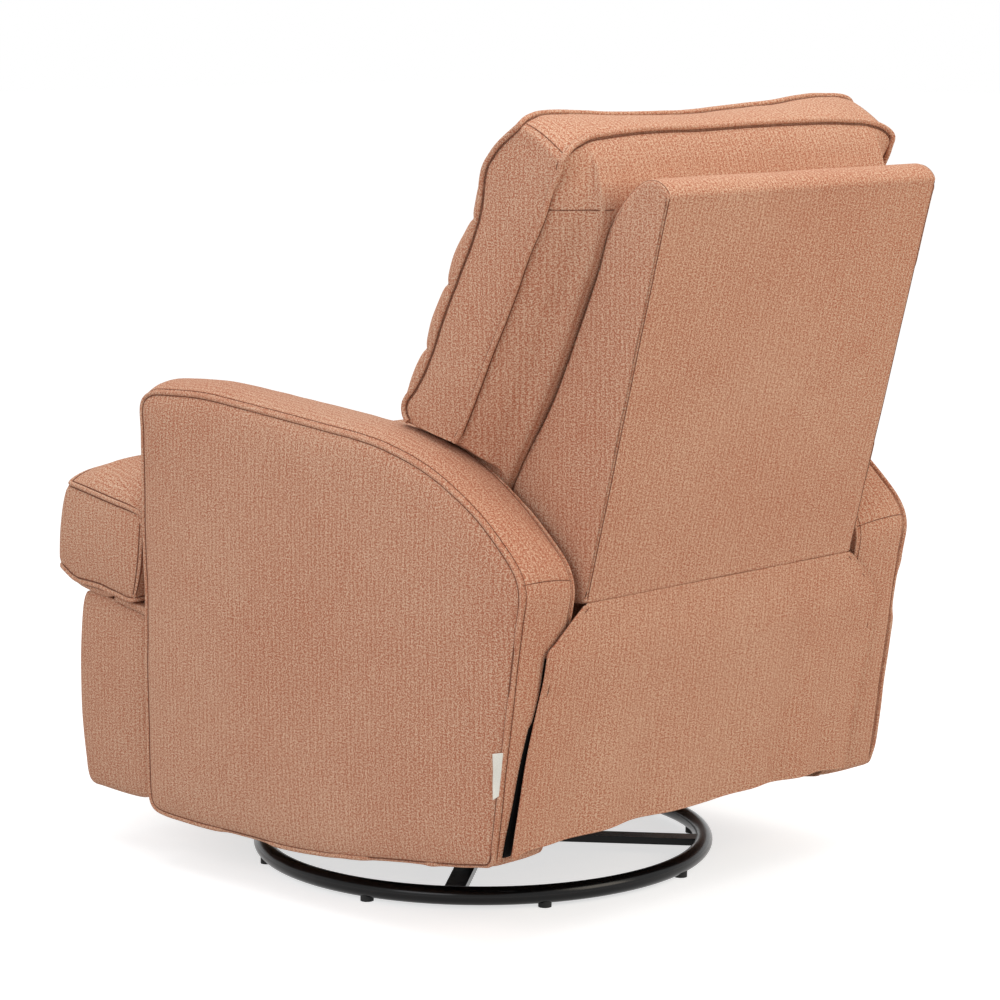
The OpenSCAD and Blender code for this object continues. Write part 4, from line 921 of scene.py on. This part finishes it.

# %% [markdown]
# ## Seat cushion welts
# The cushion's top and bottom are each sewn to the boxing strip with a welt, all round the T, with
# fine dark cords beside each welt that paint the shade of its creases. The path runs along the
# front, round an ear, back along the body and so on to the other ear. The strip has a seam at each
# front corner, drawn as two fine dark cords that paint the shade in the seam.

# %% Seat cushion welts
def seam_loop(top):
    """The T-shaped seam round the cushion's top or bottom, as one closed path."""
    def spot(x, p):
        ring = cushion_ring(x, long_at(x))
        index = int(round(p * SEAT_ALONG))
        return ring[2 * SEAT_ALONG + SEAT_ACROSS - index] if top else ring[index]

    line = [spot(x, 0) for x in both_ways(body_xs + ear_xs)]
    line += [spot(SEAT_HALF, p) for p in np.linspace(0.05, 1, 20)]
    line += [spot(x, 1) for x in reversed(ear_xs[:-1])]
    line += [spot(BODY_HALF, p) for p in np.linspace(0.27, 1, 40)]
    line += [spot(x, 1) for x in reversed(both_ways(body_xs))]
    line += [spot(-BODY_HALF, p) for p in np.linspace(1, 0.27, 40)]
    line += [spot(-x, 1) for x in ear_xs[:-1]]
    line += [spot(-SEAT_HALF, p) for p in np.linspace(1, 0.05, 20)]
    return across_line(line, closed=True)


seat_loops = [seam_loop(True), seam_loop(False)]
sink(seat, seat_loops, 1.6, 6)
CORNER_GAP = 5
corner_lines = []
for x in (-SEAT_HALF, SEAT_HALF):
    corner = cushion_ring(x, EAR_LONG)[SEAT_ALONG + 1:SEAT_ALONG + SEAT_ACROSS]
    corner_lines += [across_line(corner), across_line(corner - np.array([0, CORNER_GAP, 0]))]
measure(lay_grain(seat))
# Dark cords beside the welts and in the corner seams paint the shade there.
pipe("seat_cushion", seat, seat_loops, 3.2, "chassis", 1.4)
sew("seat_cushion_seam_shade", lay_on(seat, corner_lines, 0), 0.0009, painted_seam_shade, "chassis")
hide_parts("seat_cushion")
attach(seat, "chassis")

# %% [markdown]
# ## Leg rest pad
# The leg rest's padding is a thick slab with rounded edges, fullest in the middle of its front.
# It is glued to a board, so its rear is flat. The outline is a loop of shares of its depth and
# height, and the ends are closed by rings that shrink to a tip, as on the arms.

# %% The leg rest's outline
FOOT_BACK, FOOT_FRONT, FOOT_BOTTOM, FOOT_HEIGHT, FOOT_HALF = -346.6, -495.0, 84.0, 270.0, 368.0
FOOT_SWELL, END_X = 6 / 145, 358
FOOT_SHARES = [(0.26, 0), (0.96, 0), (1, 0.022), (1, 0.45), (1, 0.93), (0.962, 0.963),
               (0.617, 0.999), (0.17, 1.034), (0.115, 1.028), (0.083, 1.007), (0.062, 0.975),
               (0.045, 0.92), (0.024, 0.8185), (0.003, 0.6556), (0, 0.54), (0.007, 0.39),
               (0.038, 0.226), (0.065, 0.122), (0.084, 0.055), (0.114, 0.018), (0.176, 0.002)]
foot_outline = smooth_loop([(FOOT_FRONT + y * (FOOT_BACK - FOOT_FRONT),
                             FOOT_BOTTOM + z * FOOT_HEIGHT) for y, z in FOOT_SHARES], 260)
foot_outline[:, 0] = np.minimum(foot_outline[:, 0], FOOT_BACK)
foot_rear = np.array([FOOT_BACK, FOOT_BOTTOM + FOOT_HEIGHT / 2])
foot_middle = np.array([(FOOT_BACK + FOOT_FRONT) / 2, foot_rear[1]])
foot_swell = table([(0, 1), (0.4, 0.9), (0.75, 0.55), (0.95, 0.1), (1, 0)])
print("leg rest outline has", len(foot_outline), "points")


# %% Leg rest pad
def foot_ring(x, share=1.0):
    """The outline at a place across the chair, swollen to the front and drawn in by a share."""
    grow = np.array([1 + foot_swell(abs(x) / FOOT_HALF) * FOOT_SWELL, 1])
    ring = foot_rear + (foot_outline - foot_rear) * grow
    return at_x(x, foot_middle + (ring - foot_middle) * share)


end_rows = [(END_X + out, share) for out, share in (
    (0, 0.996), (1.5, 0.988), (3.2, 0.97), (4.8, 0.93), (6.4, 0.86), (7.8, 0.74), (8.9, 0.56),
    (9.6, 0.35), (10, 0.15))]
foot_xs = list(np.linspace(0, 330, 23)) + [338, 345, 350, 354, 356.5, END_X]
rings = [foot_ring(-x, share) for x, share in reversed(end_rows)]
rings += [foot_ring(x) for x in both_ways(foot_xs)]
rings += [foot_ring(x, share) for x, share in end_rows]
points, faces = tipped(rings, [(-FOOT_HALF, *foot_middle), (FOOT_HALF, *foot_middle)])
foot = ripple(add_piece("leg_rest_pad_cover", points, faces, cover), 1.5, 110, 8)
for v in foot.data.vertices:
    v.co.y = min(v.co.y, (FOOT_BACK + 0.2) * MM)
measure(lay_grain(foot))
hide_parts("footrest_pad")
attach(foot, "footrest")

# %% [markdown]
# ## Front ledge
# Above the leg rest the seat's front rail has a thin padded ledge that the cushion's ears lie on.
# Its front hangs over the leg rest as a flap. It is lofted like the rest, and since its ends are
# flat, one face closes each of them.

# %% Front ledge
LEDGE_FRONT, LEDGE_THICK, LEDGE_FALL = [(-409, 367.5), (-349.6, 356.7), (-330, 354.2)], 9.6, 0.11
BODY_REAR, EAR_REAR = -262.5, -336


def ledge_ring(x, rear):
    """The side view, which slopes down to its rear edge."""
    bend_y, bend_z = LEDGE_FRONT[-1]
    top = even(LEDGE_FRONT + [(rear, bend_z - LEDGE_FALL * (rear - bend_y))], 24)
    return at_x(x, np.vstack([top, top[::-1] - np.array([0, LEDGE_THICK])]))


ledge_xs = [0, 90, 180, 240, 268, 278, 279, 279.6, 300, 330, 352, 362, 366]
rings = [ledge_ring(x, BODY_REAR if abs(x) <= BODY_HALF else EAR_REAR)
         for x in both_ways(ledge_xs)]
points, faces = loft(rings)
count = len(rings[0])
faces.append(tuple(range(count)))
faces.append(tuple(reversed(range(len(points) - count, len(points)))))
ledge = measure(lay_grain(add_piece("front_ledge_cover", points, faces, cover)))
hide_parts("front_ledge")
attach(ledge, "chassis")

# %% [markdown]
# ## Back shell
# Behind the pillow stands the back's shell: a wedge of board and webbing under a plain cover,
# pulled tight. Its sides are flat with a seam all round, and its rear is one long panel. A
# straight panel needs more points than its two ends, or the smooth curve would bow it.

# %% The shell's outline
SHELL = [(252.2, 467.8), (260.5, 447.5), (300, 441.3), (356.7, 441), (393.3, 445.8),
         (525.4, 957.3), (515.2, 970.1), (499, 976), (478.5, 971.2), (434.4, 927.9),
         (409.5, 859.9), (375.7, 784.5), (334.6, 694.1), (260.4, 567.3)]
SHELL_HALF, PANEL_START, PANEL_RUN = 268, 4, (132.1, 511.5)
low_y, low_z = SHELL[PANEL_START]
panel = [(low_y + PANEL_RUN[0] * k / 8, low_z + PANEL_RUN[1] * k / 8)
         for k in (0.15, 1, 2, 3, 4, 5, 6, 7, 7.85)]
shell_outline = smooth_loop(SHELL[:PANEL_START + 1] + panel + SHELL[PANEL_START + 1:], 360)
shell_centre = np.array([400, 700])
print("shell outline has", len(shell_outline), "points")


# %% Back shell
def shell_ring(x, inset=0.0, share=1.0):
    """The outline, drawn in by an inset in millimetres and then by a share."""
    ahead = np.roll(shell_outline, -1, axis=0) - np.roll(shell_outline, 1, axis=0)
    inward = np.column_stack([-ahead[:, 1], ahead[:, 0]])
    inward /= np.linalg.norm(inward, axis=1)[:, None]
    ring = shell_outline + inward * inset
    return at_x(x, shell_centre + (ring - shell_centre) * share)


shell_rows = [(240, 0, 1), (258, 0, 1), (262, 0.1, 1), (264, 0.2, 1), (265.4, 0.8, 1),
              (266.0, 1.6, 1), (266.6, 3.2, 1), (267.0, 5.5, 1), (267.2, 0, 0.96),
              (267.4, 0, 0.92), (267.6, 0, 0.85), (267.8, 0, 0.72), (268, 0, 0.55),
              (268, 0, 0.35), (268, 0, 0.15)]
rings = [shell_ring(-x, inset, share) for x, inset, share in reversed(shell_rows)]
rings += [shell_ring(x) for x in np.linspace(-220, 220, 23)]
rings += [shell_ring(*row) for row in shell_rows]
points, faces = tipped(rings, [(-SHELL_HALF, *shell_centre), (SHELL_HALF, *shell_centre)])
shell = ripple(add_piece("back_shell_cover", points, faces, cover), 1.0, 110, 9)
SHELL_SEAM_X = 264.6
shell_seams = [(shell_ring(side * SHELL_SEAM_X, 0.3), True) for side in (1, -1)]
sink(shell, shell_seams, 1.2, 3.5)
measure(lay_grain(shell))
# The seams are drawn as fine dark cords that paint the shade in their valleys.
sew("back_shell_seam_shade", lay_on(shell, shell_seams, -0.2), 0.0008, painted_seam_shade, "back")
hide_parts("back_side_covers", "back_rear_cover")
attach(shell, "back")

# %% [markdown]
# ## Back pillow
# The pillow is the chair's largest soft form. Six stuffed channels run across its front, its two
# wings reach out over the arms, and a flat band with a welt on each edge runs up the wings and
# over the top. Each side view is a ring of four sides: the rear, the top, the front with its
# channels, and the bottom. Over the wings the ring ends at the arm's top instead. The tables
# read a share u of the pillow's height, or a place across the chair.

# %% Measures of the pillow
P_FRONT, P_DEEP, P_LOW, P_HIGH, PILLOW_HALF, WING_X = 75.0, 400.0, 448.0, 600.0, 328, 281
CHANNEL_LOW, CHANNEL_HIGH, CHANNELS, CHANNEL_DEEP = 0.085, 0.928, 6, 15
PITCH = (CHANNEL_HIGH - CHANNEL_LOW) / CHANNELS
CREST_Z, CREST_FRONT, CREST_DEEP, TOP_RISE, TUCK = 950, 336, 64, 6, 0.9
WING_FRONT, WING_REAR, WING_END = ((z - P_LOW) / P_HIGH for z in (656, 587, 637))
pillow_front = table([(0, 0.03), (0.12, 0.0525), (0.22, 0.0825), (0.32, 0.1125), (0.42, 0.155),
                      (0.52, 0.225), (0.62, 0.305), (0.72, 0.3875), (0.82, 0.4675),
                      (0.903, 0.525), (0.953, 0.59), (1, 0.69)])
wing_seam = table([(0.31, 0.375), (0.41, 0.452), (0.46, 0.491), (0.498, 0.52), (0.552, 0.5625),
                   (0.627, 0.62), (0.711, 0.679), (0.763, 0.721), (0.815, 0.76), (0.84, 0.771),
                   (0.876, 0.784), (0.906, 0.802), (0.937, 0.822), (1, 0.84)])
welt_pull = table([(0, 20), (0.345, 20), (0.36, 9), (0.377, 5), (0.39, 4.5), (0.4217, 15),
                   (0.48, 22), (0.528, 22), (0.587, 20), (0.658, 19), (0.72, 18), (0.78, 14),
                   (0.827, 8), (0.868, 1), (0.9, -4), (0.937, -6), (0.965, -8), (0.985, -10),
                   (1, -12)])
fuller = table([(0.36, 3), (0.52, 2), (0.58, 4), (0.65, 9), (0.72, 11), (0.79, 9), (0.87, 10),
                (0.92, 14), (0.96, 13), (1, 8)])
front_crest = table([(-328, 0.99), (-323, 1.05), (-312, 1.09), (-290, 1.11), (-258, 1.11),
                     (-153, 1.04), (-50, 0.99), (48, 0.955), (181, 0.98), (265, 1.02),
                     (292, 1.01), (308, 0.98), (320, 0.945), (325, 0.915), (328, 0.885)])
rear_crest = table([(-328, 0.66), (-322, 0.76), (-313, 0.83), (-294, 0.92), (-262, 0.98),
                    (-150, 1.03), (0, 1.02), (150, 1.0), (207, 0.985), (262, 0.94), (294, 0.86),
                    (313, 0.77), (323, 0.68), (328, 0.58)])
wing_come = table([(0, 0), (0.02, 0.2), (0.5, 0.6), (0.87, 0.95), (1, 1)])
wing_puff = table([(0, 1), (0.3, 0.75), (0.87, 0.45), (0.95, 0.3), (1, 0.1)])
wing_pull = table([(0, 0), (0.55, 0), (0.72, 0.1), (0.85, 0.32), (0.94, 0.65), (1, 1)])
front_us = np.concatenate([np.linspace(0, CHANNEL_LOW, 6, endpoint=False),
                           np.linspace(CHANNEL_LOW, CHANNEL_HIGH, CHANNELS * 16 + 1),
                           np.linspace(CHANNEL_HIGH, 1, 8)[1:]])
ALONG, ACROSS = len(front_us) - 1, 12
FIRST_FRONT = ALONG + ACROSS
pillow_rear = even([(226.2, 450.4), (251, 467.8), (259.2, 567.3), (333.4, 694.1), (374.5, 784.5),
                    (408.3, 859.9), (431, 922), (431, 945), (428, 968), (420, 996), (410, 1016),
                    (400, 1029)], ALONG + 1)
rear_us = (pillow_rear[:, 1] - P_LOW) / P_HIGH
print("pillow has", CHANNELS, "channels of", round(PITCH * P_HIGH, 1), "mm")


# %% Rings of the pillow
def front_spots(u, puff, pull):
    """The front's side view. Pull is 1 at the side seam, which lies behind the channels."""
    channel = np.abs(np.sin(np.pi * (u - CHANNEL_LOW) / PITCH)) ** 0.75
    stuffed = (1 - 0.8 * pull) * (CHANNEL_DEEP * puff * channel + fuller(u))
    y = P_FRONT + P_DEEP * pillow_front(u) + pull * welt_pull(u) - stuffed
    return np.column_stack([y, P_LOW + P_HIGH * u])


def rear_spots(u, t, rear_low):
    """The rear's side view, which comes forward to the wing's seam as t goes to 1."""
    y = np.interp(P_LOW + u * P_HIGH, pillow_rear[:, 1], pillow_rear[:, 0])
    y = np.where(u < rear_low - 1e-9, y, mix(y, P_FRONT + P_DEEP * wing_seam(u), t))
    return np.column_stack([y, P_LOW + P_HIGH * u])


def round_corner(ring, x):
    """Lowers the ring's top over the wings, more at the rear than at the front."""
    weight = np.clip((ring[:, 0] - CREST_FRONT) / CREST_DEEP, 0, 1)
    keep = mix(front_crest(x), rear_crest(x), weight)
    high = np.maximum(ring[:, 1] - CREST_Z, 0)
    ring[:, 1] = np.where(high > 0, CREST_Z + high * keep, ring[:, 1])
    return ring


def pillow_ring(x):
    """The ring at a place across the chair: plain between the arms, a wing beyond them."""
    w = (abs(x) - WING_X) / (PILLOW_HALF - WING_X)
    t, puff, pull = (float(f(w)) if w > 0 else start
                     for f, start in ((wing_come, 0.0), (wing_puff, 1.0), (wing_pull, 0.0)))
    rear_low = mix(WING_REAR, WING_END, t) if w > 0 else 0.0
    rear, front = rear_spots(rear_us, t, rear_low), front_spots(front_us, puff, pull)
    if w > 0:
        front_end = front_spots(np.array([WING_FRONT]), puff, pull)[0]
        rear_end = rear_spots(np.array([rear_low]), t, rear_low)[0]
        for spots, us, low, end in ((rear, rear_us, rear_low, rear_end),
                                    (front, front_us, WING_FRONT, front_end)):
            for k in np.flatnonzero(us < low):
                spots[k] = mix(end, (front_end + rear_end) / 2, TUCK * (1 - us[k] / low))
    share = np.linspace(0, 1, ACROSS + 1)[1:-1][:, None]
    over = mix(rear[-1], front[-1], share) + np.array([0, 1]) * TOP_RISE * np.sin(np.pi * share)
    under = mix(front[0], rear[0], share)
    return at_x(x, round_corner(np.vstack([rear, over, front[::-1], under]), x))


# %% Back pillow
pillow_half_xs = [10.0 * i for i in range(28)] + [
    276, 279, WING_X, 282, 285, 288.5, 293, 298, 303, 308, 312.5, 316.5, 320, 322.8, 325, 326.5,
    327.5, PILLOW_HALF]
pillow_xs = both_ways(pillow_half_xs)
points, faces = boxed([pillow_ring(x) for x in pillow_xs], ALONG, ACROSS, 4)
pillow = add_piece("back_pillow_cover", points, faces, cover)
pillow_rest, _ = skin_of(pillow)
ripple(pillow, 1.6, 90, 11)
ripple(pillow, 0.6, 28, 12)

# %% [markdown]
# ## Pillow seams and welts
# Two welts run up one wing, over the top and down the other: one at the band's rear edge, and one
# where the band meets the channels. Plain seams part the channels, and short ones show where the
# band's pieces meet at the top corners. The cords follow the skin's own points here, because the
# wings are thin and the nearest place on the skin may lie on their other side.

# %% Pillow seams and welts
def rim(indices, over):
    """A welt's path: up the left wing's edge, over the top and down the right wing's edge."""
    left, right = pillow_ring(PILLOW_HALF), pillow_ring(-PILLOW_HALF)
    across = [pillow_ring(x)[over] for x in pillow_xs[-2:0:-1]]
    return across_line([left[i] for i in indices] + across + [right[i] for i in reversed(indices)])


def front_row(u, xs):
    """A line across the pillow's front at one height share."""
    place = FIRST_FRONT + int(np.argmin(np.abs(front_us[::-1] - u)))
    return across_line([pillow_ring(x)[place] for x in xs])


up_rear = [i for i in range(ALONG + 1) if rear_us[i] >= WING_END]
up_front = [FIRST_FRONT + i for i in range(ALONG, -1, -1) if front_us[::-1][i] >= WING_FRONT]
welts = [rim(up_rear, ALONG), rim(up_front, FIRST_FRONT)]
sink(pillow, welts, 2.4, 7)
body_only = [x for x in pillow_xs if abs(x) <= BODY_HALF]
channel_seams = [front_row(u, pillow_xs if u > WING_FRONT else body_only)
                 for u in (CHANNEL_LOW + k * PITCH for k in range(CHANNELS + 1))]
BAND_SEAM_Z, CORNER_SEAM_X = 938, 321.5
band_row = int(np.argmin(np.abs(pillow_rear[:, 1] - BAND_SEAM_Z)))
rear_lines = []
for side in (1, -1):
    rear_lines.append(across_line([pillow_ring(side * x)[band_row]
                                   for x in pillow_half_xs if 255 < x <= 326.5]))
    corner = pillow_ring(CORNER_SEAM_X * side)
    rear_lines.append(across_line([corner[ALONG + j] for j in range(1, ACROSS)]))
sink(pillow, channel_seams, 1.5, 5)
measure(lay_grain(pillow))
# Dark cords beside the welts and along the channel and corner seams paint the shade in their
# creases and valleys.
pipe("back_pillow", pillow, welts, 3.6, "back", 2.9, pillow_rest)
sew("back_pillow_seam_shade", lay_on(pillow, channel_seams + rear_lines, 0), 0.0007, painted_seam_shade,
    "back")
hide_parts("back_cushion")
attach(pillow, "back")

# %% [markdown]
# ## Rear skirt
# A loose skirt of the same cloth hangs from the shell's lower seam and hides the mechanism. It is
# cut wider than the seam, so it falls in soft folds. It is one thin sheet, made from rows of
# points that run down it. A Solidify modifier gives it its thickness, and is then made plain.

# %% Measures of the skirt
SKIRT_TOP, SKIRT_DROP, SKIRT_ROWS, SKIRT_COLUMNS = (393.3, 445.5), 309.0, 90, 200
FOLD, FINE_FOLD, GATHER, LOOSE, FREE_FROM, CORNER_DROP = 6, 1.6, 4.2, 9, 0.35, 8
skirt_in = table([(0, 0), (0.1, -0.006), (0.19, -0.012), (0.4, -0.05), (0.6, -0.085),
                  (0.8, -0.115), (1, -0.14)])
skirt_left = table([(0, 264), (0.05, 284), (0.1, 302), (0.155, 322.5), (0.17, 330),
                    (0.18, 331.5), (0.31, 334), (0.41, 339), (0.475, 343), (0.62, 350.5),
                    (0.8, 357.5), (0.94, 364), (1, 366)])
skirt_right = table([(0, 264), (0.19, 325), (0.24, 330), (0.4, 331), (0.6, 323), (0.8, 316),
                     (1, 310)])
print("skirt drops", SKIRT_DROP, "mm")


# %% Rear skirt
def skirt_spot(v, a):
    """A point of the sheet: v runs down it, and a across it from -1 on the right to 1."""
    x = a * float(skirt_left(v) if a > 0 else skirt_right(v))
    y = SKIRT_TOP[0] + float(skirt_in(v)) * SKIRT_DROP
    # Broad folds, then finer ones that die out at the edges.
    y += FOLD * v * (1 + math.sin(math.pi * 5 * a)) / 2
    y += FINE_FOLD * v * math.sin(21 * a + 1.3 + 2 * v) * min(1, 4 * (1 - abs(a)))
    # The right edge is gathered, and the left one hangs loose.
    low = max(0.0, (v - FREE_FROM) / (1 - FREE_FROM))
    y += GATHER * max(0.0, (-a - 0.72) / 0.28) * low * (1 + math.sin(30 * a + 3.5 * v))
    y += LOOSE * max(0.0, (a - 0.9) / 0.1) ** 2 * low
    # The hem waves a little and drops at both corners.
    z = SKIRT_TOP[1] - v * SKIRT_DROP * (1 + 0.004 * math.cos(9 * a) * v)
    z -= v**3 * CORNER_DROP * (max(0.0, (a - 0.86) / 0.14) ** 2 + max(0.0, (-a - 0.7) / 0.3) ** 2)
    return (x, y, z)


def cloth_sheet(name, rows, finish, thickness):
    """A thin sheet from rows of points, with a thickness, all in millimetres."""
    wide = len(rows[0])
    faces = [(i * wide + j, (i + 1) * wide + j, (i + 1) * wide + j + 1, i * wide + j + 1)
             for i in range(len(rows) - 1) for j in range(wide - 1)]
    piece = add_piece(name, [p for row in rows for p in row], faces, finish)
    thick = piece.modifiers.new("thickness", "SOLIDIFY")
    thick.thickness, thick.offset = thickness * MM, 0
    make_plain(piece)
    return measure(lay_grain(piece))


grid = [[skirt_spot(i / SKIRT_ROWS, 2 * j / SKIRT_COLUMNS - 1) for j in range(SKIRT_COLUMNS + 1)]
        for i in range(SKIRT_ROWS + 1)]
skirt = cloth_sheet("rear_skirt_cloth", grid, cover, 2.2)

# %% [markdown]
# ## Skirt hems
# The skirt's free edges are turned over and stitched, which shows as a rounded rim with a fine dark
# cord beside it that paints the shade along the stitches.

# %% Skirt hems
HEM_WIDE = 9
hem_line = ([row[0] for row in grid[1:]] + grid[-1][1:-1] + [row[-1] for row in reversed(grid[1:])])
hem = sewn("rear_skirt_hem", [(np.array(hem_line) * MM, False)], 0.0019, cover)
turned = [across_line([skirt_spot(v, side * (1 - HEM_WIDE / edge(v)))
                       for v in np.linspace(0.02, 1, 60)])
          for side, edge in ((1, skirt_left), (-1, skirt_right))]
# A dark cord paints the shade along the hem's stitches.
hem_stitch_shade = sewn("rear_skirt_stitch_shade", lay_on(skirt, turned, 0.4), 0.0006, painted_seam_shade)
for piece in (skirt, hem, hem_stitch_shade):
    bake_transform(piece)
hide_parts("rear_skirt")

# %% [markdown]
# ## Shadow strip behind the skirt's edge
# A black strip on the arm's rear band paints the deep shadow in the gap behind the skirt's edge,
# and a few millimetres of it show beside the cloth. Each of its rows is laid on the arm's skin,
# from behind the skirt's edge to a little beyond it.

# %% Shadow strip
STRIP_BEHIND = 10
rows = []
for v in np.linspace(0.2, 0.995, 60):
    x, y, z = skirt_spot(v, 1.0)
    shown = float(np.interp(v, [0.2, 0.46, 0.48, 0.9, 1], [0.2, 0.6, 4.6, 5, 4]))
    rows.append([])
    for place in np.linspace(x - STRIP_BEHIND, x + shown, 6):
        spot = arm_left.closest_point_on_mesh(Vector((place, y, z)) * MM)[1] / MM
        rows[-1].append((place, spot[1] + 1.0, z))
# The strip is painted shadow in the gap between the skirt and the arm.
strip = cloth_sheet("skirt_gap_shadow_strip", rows, gap_shadow_finish, 1.2)
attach(strip, "chassis")

# %% [markdown]
# ## Tag
# The tag is a plain ribbon, sewn into the arm's outer seam by one edge, so that its other edge
# hangs free and stands off the panel a little. Its sewn edge follows the seam, and the free one
# curls, which a small sine does.

# %% Tag
TAG_TOP, TAG_BOTTOM, TAG_X = 271.5, 215.5, 396
rows = []
for t in np.linspace(0, 1, 40):
    z = mix(TAG_TOP, TAG_BOTTOM, t)
    seam_y, free_y = mix(366.5, 359, t), mix(354.5, 353.0, t) + 0.8 * math.sin(2.4 * math.pi * t)
    rows.append([])
    for k in np.linspace(0, 1, 9):
        y = mix(seam_y, free_y, k)
        spot = arm_left.closest_point_on_mesh(Vector((TAG_X, y, z)) * MM)[1] / MM
        curl = 0.9 + 3.2 * k**2 + 0.9 * k * math.sin(7 * t + 0.6)
        rows[-1].append((spot[0] + curl, y, z - (2 + 3 * t) * k))
tag = cloth_sheet("tag_ribbon", rows, finishes["tag_fabric"], 0.7)
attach(tag, "chassis")
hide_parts("blank_tag")

# %% [markdown]
# ## Last update
# The view layer is brought up to date once more at the end. The visual model may be no larger
# than the solids, apart from a small swell of the covers.

# %% Last update
bpy.context.view_layer.update()
